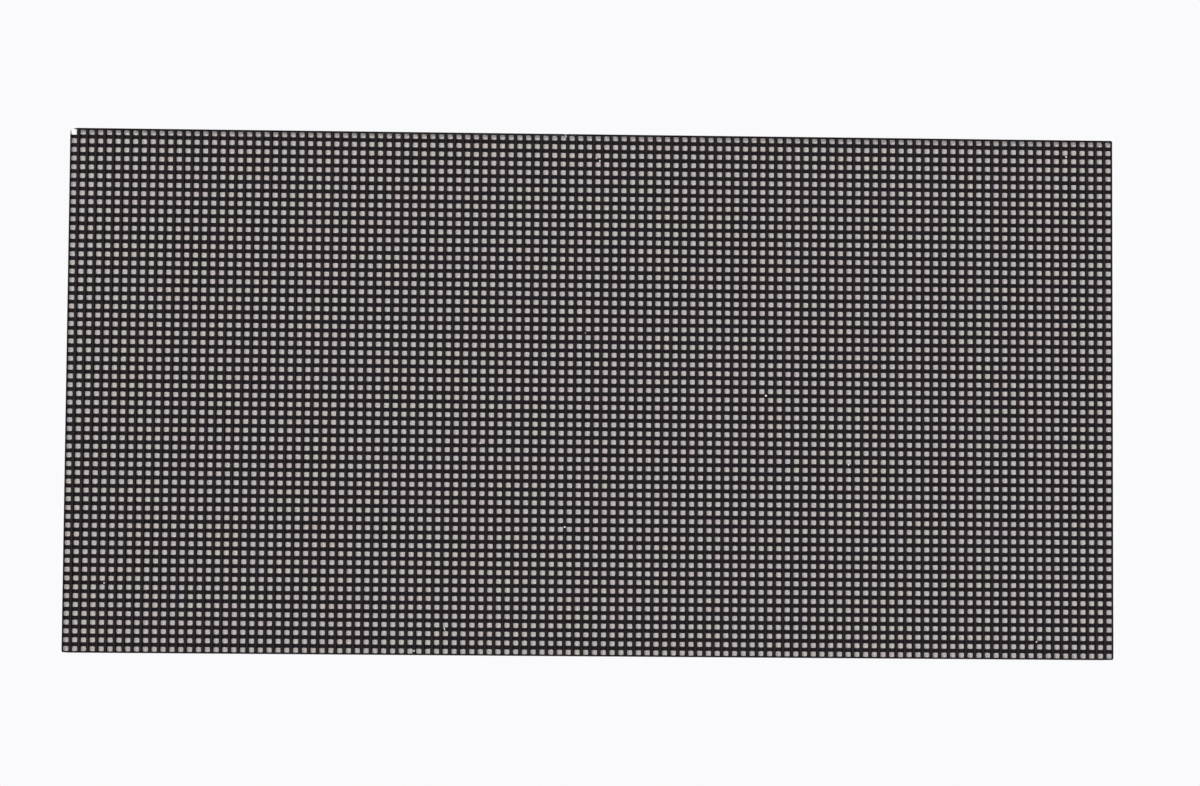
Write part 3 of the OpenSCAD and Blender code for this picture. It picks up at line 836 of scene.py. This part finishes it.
def patches(tree, flat, size, low, high, stretch):
    """Large soft-edged areas that switch a pattern on and off."""
    scaled = add_node(tree, "ShaderNodeVectorMath", {0: flat, 1: stretch}, operation="MULTIPLY")
    noise = add_node(tree, "ShaderNodeTexNoise", {"Vector": scaled, "Scale": 1 / size, "Detail": 0.0})
    return add_node(tree, "ShaderNodeMapRange", {"Value": noise, "From Min": low, "From Max": high})


def trace_pattern(tree, flat):
    """One on a trace: upright runs in some areas, level runs in some of the others."""
    axes = add_node(tree, "ShaderNodeSeparateXYZ", {"Vector": flat})
    upright_area = patches(tree, flat, 9 * MM, 0.5, 0.52, (3, 1, 0.6))
    level_area = patches(tree, flat, 11 * MM, 0.53, 0.55, (0.5, 1, 3))
    uprights = line_pattern(tree, axes.outputs["X"], TRACE_PITCH, TRACE_W)
    levels = line_pattern(tree, axes.outputs["Z"], TRACE_PITCH, TRACE_W)
    upright = add_node(tree, "ShaderNodeMath", {0: uprights, 1: upright_area}, operation="MULTIPLY")
    no_upright = add_node(tree, "ShaderNodeMath", {0: 1.0, 1: upright_area}, operation="SUBTRACT")
    beside = add_node(tree, "ShaderNodeMath", {0: levels, 1: no_upright}, operation="MULTIPLY")
    level = add_node(tree, "ShaderNodeMath", {0: beside, 1: level_area}, operation="MULTIPLY")
    return add_node(tree, "ShaderNodeMath", {0: upright, 1: level}, operation="MAXIMUM")


def via_pattern(tree, flat):
    """One on a via's copper land, and one in its drilled hole."""
    cell = add_node(tree, "ShaderNodeVectorMath", {0: flat, 1: (PITCH, 1.0, PITCH)}, operation="DIVIDE")
    inside = add_node(tree, "ShaderNodeVectorMath", {0: cell}, operation="FRACTION")
    away = add_node(tree, "ShaderNodeVectorMath", {0: inside, 1: VIA_AT}, operation="DISTANCE")
    land = add_node(tree, "ShaderNodeMapRange", {
        "Value": away, "From Min": VIA_LAND, "From Max": VIA_LAND + 0.02, "To Min": 1.0, "To Max": 0.0})
    hole = add_node(tree, "ShaderNodeMapRange", {
        "Value": away, "From Min": VIA_HOLE, "From Max": VIA_HOLE + 0.015, "To Min": 1.0, "To Max": 0.0})
    return land, hole


print("traces every", TRACE_PITCH / MM, "mm, vias every", PITCH / MM, "mm")

# %% [markdown]
# The laminate is woven glass in epoxy. Where the solder mask covers copper it looks lighter,
# and it dips into the drilled holes. The cut edges of the board show the bare, yellowish
# glass; the front is printed matt black. Which of the three a spot gets follows from how far
# back it lies.

# %% Board laminate
SKIN = 0.02 * MM


def board_laminate():
    material, tree, place = new_material("printed_circuit_board")
    flat = add_node(tree, "ShaderNodeVectorMath", {0: place, 1: (1, 0, 1)}, operation="MULTIPLY")
    land, hole = via_pattern(tree, flat)
    copper = add_node(tree, "ShaderNodeMath", {0: trace_pattern(tree, flat), 1: land}, operation="MAXIMUM")
    green = drifting(tree, flat, 18 * MM, "#0f4029", "#13492f", 2.0)
    glass = drifting(tree, flat, 18 * MM, "#8d8352", "#9c9263", 2.0)
    on_copper = add_node(tree, "ShaderNodeMix", {
        "Factor": copper, "A": green, "B": linear("#1d6440")}, data_type="RGBA")
    mask = add_node(tree, "ShaderNodeMix", {
        "Factor": hole, "A": on_copper, "B": linear("#0a2418")}, data_type="RGBA")
    back = add_node(tree, "ShaderNodeSeparateXYZ", {"Vector": place}).outputs["Y"]
    behind = add_node(tree, "ShaderNodeMath", {0: back, 1: BOARD_BACK - SKIN}, operation="GREATER_THAN")
    in_front = add_node(tree, "ShaderNodeMath", {0: back, 1: BOARD_FRONT + SKIN}, operation="LESS_THAN")
    edge_or_back = add_node(tree, "ShaderNodeMix", {
        "Factor": behind, "A": glass, "B": mask}, data_type="RGBA")
    colour = add_node(tree, "ShaderNodeMix", {
        "Factor": in_front, "A": edge_or_back, "B": linear("#161516")}, data_type="RGBA")
    raised = add_node(tree, "ShaderNodeMath", {0: copper, 1: hole}, operation="SUBTRACT")
    bump = add_node(tree, "ShaderNodeBump", {"Height": raised, "Strength": 0.5, "Distance": 0.03 * MM})
    shader = add_node(tree, "ShaderNodeBsdfPrincipled", {
        "Base Color": colour, "Roughness": 0.36, "Normal": bump})
    add_node(tree, "ShaderNodeOutputMaterial", {"Surface": shader})
    return material


def finish_node(node, material):
    """Gives a CAD node that stays as it is its finish."""
    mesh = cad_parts[node].data
    mesh.materials.clear()
    mesh.materials.append(material)


finish_node("circuit_board", board_laminate())
print("board", [round(side / MM, 2) for side in board_high - board_low], "mm")

# %% [markdown]
# ## Chips
#
# A chip in a small-outline package is a black body with drafted sides that meet at a parting
# line halfway up, a dimple beside its first lead, and gull-wing leads that leave the body at
# the parting line, bend down and lie flat on their solder pads. The lead count and pitch are
# those of the standard packages: 24 leads at 0.635 mm on a driver, 16 at 1.27 mm on a row
# switch, 20 at 0.65 mm on a buffer.

# %% Blocks with cut corners
PAD_CUT = 0.06 * MM


def cut_block(width, height, length, cut, foot=0.0):
    """A block from foot to height above the XZ plane whose four upright edges are cut off."""
    shape = block_shape(width, height - foot, length, foot)
    upright = [e for e in shape.edges if abs(e.verts[0].co.y - e.verts[1].co.y) > 0.5 * (height - foot)]
    bmesh.ops.bevel(shape, geom=upright, offset=cut, offset_type="OFFSET", segments=1,
                    profile=0.5, affect="EDGES", material=-1)
    return shape


def draw_in(vert, by):
    """Moves a corner towards the block's own upright axis."""
    vert.co.x -= math.copysign(by, vert.co.x)
    vert.co.z -= math.copysign(by, vert.co.z)


def pad_shape(width, length, thick):
    """A solder pad: a low block, a little smaller on top, that stands on the XZ plane."""
    shape = cut_block(width, thick, length, PAD_CUT)
    for vert in shape.verts:
        if vert.co.y > thick / 2:
            draw_in(vert, PAD_CUT / 2)
    return shape


tell("a solder pad", pad_shape(1 * MM, 1 * MM, 0.05 * MM))

# %% Chip body and leads
CHIP_CUT, CHIP_EDGE, CHIP_FOOT = 0.12 * MM, 0.05 * MM, 0.1 * MM
DIMPLE_R, DIMPLE_DEPTH, DIMPLE_IN = 0.32 * MM, 0.06 * MM, 0.85 * MM
LEAD_THICK, LEAD_LIFT = 0.15 * MM, 0.04 * MM


def sink_dimple(shape, centre):
    """Opens the flat top of a body and sinks a round dimple into it."""
    bmesh.ops.delete(shape, geom=facing(shape, (0, 1, 0)), context="FACES_ONLY")
    laid = Matrix.Translation(centre) @ Matrix.Rotation(math.radians(-90), 4, "X")
    lip = bmesh.ops.create_circle(shape, segments=12, radius=DIMPLE_R, matrix=laid)["verts"]
    around = list({edge for vert in lip for edge in vert.link_edges})
    grown = bmesh.ops.extrude_edge_only(shape, edges=around)["geom"]
    floor = [v for v in grown if isinstance(v, bmesh.types.BMVert)]
    bmesh.ops.scale(shape, vec=(0.85, 1.0, 0.85), space=Matrix.Translation(-centre), verts=floor)
    bmesh.ops.translate(shape, vec=(0, -DIMPLE_DEPTH, 0), verts=floor)
    bmesh.ops.contextual_create(shape, geom=[e for e in grown if isinstance(e, bmesh.types.BMEdge)])
    open_edges = [e for e in shape.edges if len(e.link_faces) == 1]
    bmesh.ops.triangle_fill(shape, use_beauty=True, edges=open_edges)


def chip_body_shape(width, length, height):
    """A body along Z that stands off the XZ plane and faces +Y, with a dimple by its first lead."""
    shape = cut_block(width, height, length, CHIP_CUT, CHIP_FOOT)
    draft = 0.07 * height
    drawn_at = {CHIP_FOOT: draft, 0.5 * height: 0.0, 0.53 * height: 0.0,
                height - CHIP_EDGE: draft, height: draft + CHIP_EDGE}
    for level in sorted(drawn_at)[1:-1]:
        bmesh.ops.bisect_plane(shape, geom=shape.verts[:] + shape.edges[:] + shape.faces[:],
                               plane_co=(0, level, 0), plane_no=(0, 1, 0))
    for vert in shape.verts:
        nearest = min(drawn_at, key=lambda level: abs(level - vert.co.y))
        draw_in(vert, drawn_at[nearest])
    sink_dimple(shape, Vector((width / 2 - DIMPLE_IN, height, length / 2 - DIMPLE_IN)))
    return shape


def lead_shape(reach, height, width):
    """A gull-wing lead in the XY plane that runs out along X from zero to its toe."""
    root, up, foot = -0.1 * MM, 0.5 * height, LEAD_LIFT + LEAD_THICK
    outline = ((root, up), (0.3 * reach, up), (0.52 * reach, foot), (reach, foot), (reach, LEAD_LIFT),
               (0.42 * reach, LEAD_LIFT), (0.2 * reach, up - LEAD_THICK), (root, up - LEAD_THICK))
    return prism([(x, y, -width / 2) for x, y in outline], (0, 0, width))


tell("a chip body", chip_body_shape(4 * MM, 9 * MM, 1.6 * MM))
tell("a gull-wing lead", lead_shape(1 * MM, 1.6 * MM, 0.24 * MM))

# %% Chips on the board
def add_chips(node, leads, lead_pitch, lead_width, reach):
    """Bodies, leads and pads for every chip of a CAD node, whichever way the chips lie."""
    boxes = solids_in(node)
    size = boxes[0][1] - boxes[0][0]
    upright = size.z > size.x
    length, span = (size.z, size.x) if upright else (size.x, size.z)
    width = span - 2 * reach
    quarter = Matrix.Identity(4) if upright else Matrix.Rotation(math.radians(90), 4, "Y")
    bodies, wings, pads = [], [], []
    for low, high in boxes:
        middle = (low + high) / 2
        seat = Matrix.Translation((middle.x, BOARD_BACK, middle.z)) @ quarter
        bodies.append(seat)
        for side in (0, 180):
            turned = seat @ Matrix.Rotation(math.radians(side), 4, "Y")
            for k in range(leads // 2):
                spot = (k - (leads // 2 - 1) / 2) * lead_pitch
                wings.append(turned @ Matrix.Translation((width / 2, 0, spot)))
                pads.append(turned @ Matrix.Translation((width / 2 + 0.72 * reach, 0, spot)))
    made = (("bodies", chip_body_shape(width, length, size.y), bodies, CHIP_EPOXY),
            ("leads", lead_shape(reach, size.y, lead_width), wings, TIN),
            ("pads", pad_shape(0.75 * reach, 1.45 * lead_width, 0.05 * MM), pads, SOLDER))
    for part, shape, places, material in made:
        name = f"{node}_{part}"
        add_piece(name, repeated(name, shape, places), material, node)


add_chips("driver_chips", 24, 0.635 * MM, 0.24 * MM, 1.05 * MM)
add_chips("row_switch_chips", 16, 1.27 * MM, 0.41 * MM, 1.05 * MM)
add_chips("buffer_chips", 20, 0.65 * MM, 0.24 * MM, 1.0 * MM)

# %% [markdown]
# ## Resistors and capacitors
#
# A chip resistor is a white ceramic slip with a black glass window between two tinned ends. A
# chip capacitor is a tan ceramic block, nearly as tall as it is wide, with the same ends.

# %% Small chip parts
END_SHARE = 0.2
SOLDER_UNDER = 0.03 * MM
WINDOW_THICK = 0.06 * MM


def edged_block(width, depth, height, edge):
    """A block that stands on the XZ plane with all of its edges taken off."""
    shape = block_shape(width, depth, height)
    bmesh.ops.bevel(shape, geom=shape.edges[:], offset=edge, segments=1, profile=0.5,
                    affect="EDGES", material=-1)
    return shape


def add_chip_parts(node, body_material, window=None):
    """Bodies, tinned ends and pads for a node of small two-ended parts that lie along X."""
    boxes = solids_in(node)
    length, tall, wide = boxes[0][1] - boxes[0][0]
    end = END_SHARE * length
    bodies, ends, tops, pads = [], [], [], []
    for low, high in boxes:
        middle = (low + high) / 2
        seat = Matrix.Translation((middle.x, BOARD_BACK + SOLDER_UNDER, middle.z))
        bodies.append(seat)
        tops.append(Matrix.Translation((0, tall - SOLDER_UNDER - 0.05 * MM, 0)) @ seat)
        for side in (-1, 1):
            ends.append(Matrix.Translation((side * (length - end) / 2, 0, 0)) @ seat)
            pads.append(Matrix.Translation((side * 0.5 * length, -SOLDER_UNDER, 0)) @ seat)
    body = edged_block(length - 0.1 * MM, tall - 0.07 * MM, wide - 0.04 * MM, 0.03 * MM)
    made = [("bodies", body, bodies, body_material),
            ("ends", edged_block(end, tall - SOLDER_UNDER, wide, 0.05 * MM), ends, TIN),
            ("pads", pad_shape(0.55 * length, wide + 0.1 * MM, SOLDER_UNDER), pads, SOLDER)]
    if window:
        glass = edged_block(length - 2.3 * end, WINDOW_THICK, wide - 0.16 * MM, 0.02 * MM)
        made.append(("windows", glass, tops, window))
    for part, shape, places, material in made:
        name = f"{node}_{part}"
        add_piece(name, repeated(name, shape, places), material, node)


add_chip_parts("chip_resistors", CERAMIC, RESISTOR_GLASS)
add_chip_parts("chip_capacitors", CAPACITOR_CERAMIC)

# %% [markdown]
# ## Turned parts
#
# The cans, nuts and brass inserts are round, so each is one profile of radius against depth
# that is spun round its axis. A can is drawn aluminium, rolled in above its base to grip the
# rubber bung, with a cross scored in its lid so that it can vent. An insert has a threaded
# bore, drawn here as one ridge for each turn of the thread.

# %% Spinning a profile
def spun(profile, sides):
    """A closed solid from (radius, y) points: a closed loop, or one that runs from axis to axis."""
    shape = bmesh.new()
    points = [shape.verts.new((radius, y, 0)) for radius, y in profile]
    lines = [shape.edges.new(pair) for pair in zip(points, points[1:])]
    if profile[0][0] > 0:
        lines.append(shape.edges.new((points[-1], points[0])))
    bmesh.ops.spin(shape, geom=points + lines, cent=(0, 0, 0), axis=(0, 1, 0), angle=2 * math.pi,
                   steps=sides, use_merge=True, use_duplicate=False)
    bmesh.ops.remove_doubles(shape, verts=shape.verts, dist=0.0001 * MM)
    return shape


def seats_of(node, plane):
    """Where each solid of a node stands, on a plane across Y."""
    return [Matrix.Translation(((low.x + high.x) / 2, plane, (low.z + high.z) / 2))
            for low, high in solids_in(node)]


tell("a spun cylinder with 16 sides", spun(((0, 0), (1, 0), (1, 1), (0, 1)), 16))

# %% Electrolytic capacitors
can_low, can_high = solids_in("capacitor_cans")[0]
CAN_R = (can_high.x - can_low.x) / 2
CAN_H = can_high.y - can_low.y
GROOVE_DEPTH, LID_SUNK = 0.42 * MM, 0.07 * MM
SCORE_L, SCORE_W, MARK_THICK = 3.2 * MM, 0.14 * MM, 0.02 * MM


def can_profile():
    """From the middle of the underside, out, up past the rolled groove and in over the lid."""
    foot, groove, shoulder = 0.75 * MM, 0.9 * MM, 0.55 * MM
    points = [(0, 0), (CAN_R - 0.35 * MM, 0), (CAN_R - 0.1 * MM, 0.15 * MM), (CAN_R, 0.45 * MM)]
    for k in range(9):
        share = k / 8
        points.append((CAN_R - GROOVE_DEPTH * math.sin(math.pi * share), foot + groove * share))
    for k in range(7):
        t = math.pi / 2 * k / 6
        points.append((CAN_R - shoulder * (1 - math.cos(t)),
                       CAN_H - 0.03 * MM - shoulder * (1 - math.sin(t))))
    return points + [(CAN_R - 0.75 * MM, CAN_H - LID_SUNK), (0, CAN_H - LID_SUNK)]


def sector_shape():
    """The printed sector on a can's lid that marks its negative side."""
    radius = CAN_R - 0.85 * MM
    arc = [math.radians(a) for a in range(-62, 63, 8)]
    return prism([(radius * math.cos(a), 0, radius * math.sin(a)) for a in arc], (0, MARK_THICK, 0))


def score_shape():
    """The cross scored in the lid, as two thin strips whose darker grey is painted shade in its channels."""
    shape = bmesh.new()
    for width, height in ((SCORE_L, SCORE_W), (SCORE_W, SCORE_L)):
        made = bmesh.ops.create_cube(shape, size=1.0)["verts"]
        bmesh.ops.scale(shape, vec=(width, MARK_THICK, height), verts=made)
    return shape


can_seats = seats_of("capacitor_cans", can_low.y)
lids = [seat @ Matrix.Translation((0, CAN_H - LID_SUNK - 0.005 * MM, 0)) for seat in can_seats]
score_seats = [seat @ Matrix.Translation((-0.25 * MM, 0, 0)) for seat in lids]
# Printed ink: matt black. A score: the same aluminium, but torn and in shade, so darker and dull
MARK_INK = grained("black_marking_ink", "#131315", "#1c1c1f", 0.5, grain=0.1)
SCORE_SHADE = grained("scored_aluminium_painted_shade", "#6d6e70", "#808284", 0.45, 1.0, grain=0.1)
for name, shape, places, material, angle in (
        ("capacitor_cans_drawn", spun(can_profile(), 48), can_seats, ALUMINIUM, 40),
        ("capacitor_polarity_sectors", sector_shape(), lids, MARK_INK, 30),
        ("capacitor_vent_scores", score_shape(), score_seats, SCORE_SHADE, 30)):
    add_piece(name, repeated(name, shape, places), material, "capacitor_cans", angle)
add_piece("capacitor_bases_moulded", softened("capacitor_bases", 0.1 * MM), HEADER_PBT,
          "capacitor_bases")

# %% Nuts, inserts and screws
insert_low, insert_high = solids_in("threaded_inserts")[0]
INSERT_R = (insert_high.x - insert_low.x) / 2
INSERT_L = insert_high.y - insert_low.y
BORE_R, LEAD_IN = 1.25 * MM, 0.3 * MM
THREAD_PITCH, THREAD_DEPTH = 0.5 * MM, 0.22 * MM


def insert_profile():
    """The outside with its groove, then the bore with one ridge for each turn of an M3 thread."""
    edge, groove_r = 0.2 * MM, INSERT_R - 0.3 * MM
    outer = [(BORE_R + LEAD_IN, INSERT_L), (INSERT_R - edge, INSERT_L), (INSERT_R, INSERT_L - edge),
             (INSERT_R, 0.62 * INSERT_L), (groove_r, 0.58 * INSERT_L), (groove_r, 0.42 * INSERT_L),
             (INSERT_R, 0.38 * INSERT_L), (INSERT_R, edge), (INSERT_R - edge, 0), (BORE_R + LEAD_IN, 0)]
    bore = []
    for k in range(round(INSERT_L / THREAD_PITCH) - 1):
        bore += [(BORE_R, (k + 0.75) * THREAD_PITCH), (BORE_R + THREAD_DEPTH, (k + 1.25) * THREAD_PITCH)]
    return outer + bore


insert_seats = seats_of("threaded_inserts", insert_low.y)
inserts = repeated("threaded_inserts_turned", spun(insert_profile(), 32), insert_seats)
add_piece("threaded_inserts_turned", inserts, BRASS, "threaded_inserts", 25)
add_piece("board_nuts_turned", softened("board_nuts", 0.15 * MM, 2), TIN, "board_nuts", 40)

HEAD_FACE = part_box("frame_screws")[1].y - 0.01 * MM


def on_head_rim(edge):
    """Whether an edge runs round the outside of a screw head's rear face."""
    return all(vert.co.y > HEAD_FACE for vert in edge.verts) and edge.calc_length() < 0.5 * MM


add_piece("frame_screws_plated", softened("frame_screws", 0.35 * MM, 3, on_head_rim), ZINC,
          "frame_screws", 40)

# %% [markdown]
# ## Headers and frame
#
# The signal sockets, the power header and the rear frame keep the CAD's own shapes. Only the
# edges are taken off, by a tenth or two of a millimetre, because no moulded or stamped edge is
# ever perfectly sharp, and that thin line of light is what makes a part look made.

# %% Moulded and stamped parts
for side in ("in", "out"):
    shroud, pins = f"signal_{side}_shroud", f"signal_{side}_pins"
    add_piece(f"{shroud}_moulded", softened(shroud, 0.15 * MM, 2), HEADER_PBT, shroud, 40)
    add_piece(f"{pins}_plated", softened(pins, 0.12 * MM), GOLD, pins, 40)
for node, ending, segments, material, slot in (
        ("power_header_body", "moulded", 2, HEADER_NYLON, "header_nylon"),
        ("power_header_pins", "plated", 1, TIN, "pin_tin"),
        ("rear_frame", "moulded", 2, FRAME_PLASTIC, "frame_plastic")):
    add_piece(f"{node}_{ending}", softened(node, 0.2 * MM, segments), material, node, 40)

# %% [markdown]
# ## Light and camera
#
# The module is seen through a long lens from most of a metre away, slightly from the left and
# below, so its edges stay almost parallel. The light is a broad soft box to the upper left in
# front, with a pale room all round. A small cool fill low on the right keeps the far lamps
# from going dark, and a third box lights the back. Rays that go straight to the camera see a
# plain white room, so the background stays pale however the object is lit.

# %% Room
PALE = "#fafafc"


def build_world(light_level):
    world = bpy.data.worlds.new("pale_room")
    bpy.context.scene.world = world
    world.use_nodes = True
    tree = world.node_tree
    tree.nodes.clear()
    rays = add_node(tree, "ShaderNodeLightPath").outputs
    seen = add_node(tree, "ShaderNodeMath", {
        0: rays["Is Camera Ray"], 1: rays["Is Glossy Ray"]}, operation="MAXIMUM")
    direct = add_node(tree, "ShaderNodeMath", {
        0: seen, 1: rays["Is Transmission Ray"]}, operation="MAXIMUM")
    lit = add_node(tree, "ShaderNodeBackground", {"Color": linear("#ffffff"), "Strength": light_level})
    shown = add_node(tree, "ShaderNodeBackground", {"Color": linear(PALE), "Strength": 1.0})
    mix = add_node(tree, "ShaderNodeMixShader", {0: direct, 1: lit, 2: shown})
    add_node(tree, "ShaderNodeOutputWorld", {"Surface": mix})


def add_softbox(name, place, aim, size, power, tint="#ffffff"):
    lamp = bpy.data.lights.new(name, "AREA")
    lamp.shape = "DISK"
    lamp.size = size
    lamp.energy = power
    lamp.color = linear(tint)[:3]
    box = bpy.data.objects.new(name, lamp)
    bpy.context.scene.collection.objects.link(box)
    box.location = place
    box.rotation_euler = (Vector(aim) - Vector(place)).to_track_quat("-Z", "Y").to_euler()
    print(name, power, "W")


build_world(0.54)
add_softbox("key_softbox", (-2.0, -3.3, 2.6), (0, 0, 0), 1.8, 150)
add_softbox("low_fill", (0.55, -1.1, -0.4), (0.12, 0, -0.06), 0.5, 12, "#eaf0ff")
add_softbox("rear_softbox", (1.0, 1.8, 1.2), (0, 0, 0), 1.0, 32)

# %% [markdown]
# The floor is painted a pale, dull grey, so it throws a little light up at the module and
# takes its shadow. Seen by the camera it fades into the room: a quarter of the room's light
# under the module, all of it from 1.6 m out, so there is no horizon.

# %% Floor
FADE_FROM, FADE_TO = 0.3, 1.6


def painted_floor():
    material, tree, place = new_material("pale_painted_floor")
    tone = drifting(tree, place, 1 / 3, "#d9d9db", "#dfdfe1", 2.0)
    paint = add_node(tree, "ShaderNodeBsdfPrincipled", {
        "Base Color": tone, "Roughness": 0.8, "Specular IOR Level": 0.1})
    away = add_node(tree, "ShaderNodeVectorMath", {0: place}, operation="LENGTH")
    fade = add_node(tree, "ShaderNodeMapRange", {
        "Value": away, "From Min": FADE_FROM, "From Max": FADE_TO, "To Min": 0.25, "To Max": 1.0},
        interpolation_type="SMOOTHSTEP")
    rays = add_node(tree, "ShaderNodeLightPath").outputs
    seen = add_node(tree, "ShaderNodeMath", {0: fade, 1: rays["Is Camera Ray"]}, operation="MULTIPLY")
    room = add_node(tree, "ShaderNodeEmission", {"Color": linear(PALE), "Strength": 1.0})
    mix = add_node(tree, "ShaderNodeMixShader", {0: seen, 1: paint, 2: room})
    add_node(tree, "ShaderNodeOutputMaterial", {"Surface": mix})
    return material


def add_floor(height):
    shape = bmesh.new()
    bmesh.ops.create_grid(shape, x_segments=1, y_segments=1, size=6.0)
    bmesh.ops.translate(shape, vec=(0, 0, height), verts=shape.verts)
    mesh = bpy.data.meshes.new("pale_floor")
    shape.to_mesh(mesh)
    shape.free()
    mesh.materials.append(painted_floor())
    floor = bpy.data.objects.new("pale_floor", mesh)
    bpy.context.scene.collection.objects.link(floor)
    print("floor at", height, "m")


add_floor(-0.3)

# %% Camera
CAMERA_DISTANCE = 0.9
CAMERA_AZIMUTH, CAMERA_ELEVATION, CAMERA_ROLL = (math.radians(a) for a in (-2.282, -4.202, 0.406))
CAMERA_LENS = 118.0
AIM = Vector((1.8 * MM, MASK_FRONT, 0.24 * MM))


def add_camera():
    data = bpy.data.cameras.new("long_lens")
    data.sensor_width = 36.0
    data.lens = CAMERA_LENS
    data.clip_start, data.clip_end = 0.1, 50.0
    camera = bpy.data.objects.new("long_lens", data)
    bpy.context.scene.collection.objects.link(camera)
    level = math.cos(CAMERA_ELEVATION)
    back = Vector((math.sin(CAMERA_AZIMUTH) * level, -math.cos(CAMERA_AZIMUTH) * level,
                   math.sin(CAMERA_ELEVATION)))
    camera.location = AIM + back * CAMERA_DISTANCE
    roll = Matrix.Rotation(CAMERA_ROLL, 3, "Z")
    camera.rotation_euler = ((-back).to_track_quat("-Z", "Y").to_matrix() @ roll).to_euler()
    bpy.context.scene.camera = camera
    print("camera at", [round(c, 3) for c in camera.location], "m")


add_camera()
bpy.context.scene.view_settings.view_transform = "Standard"
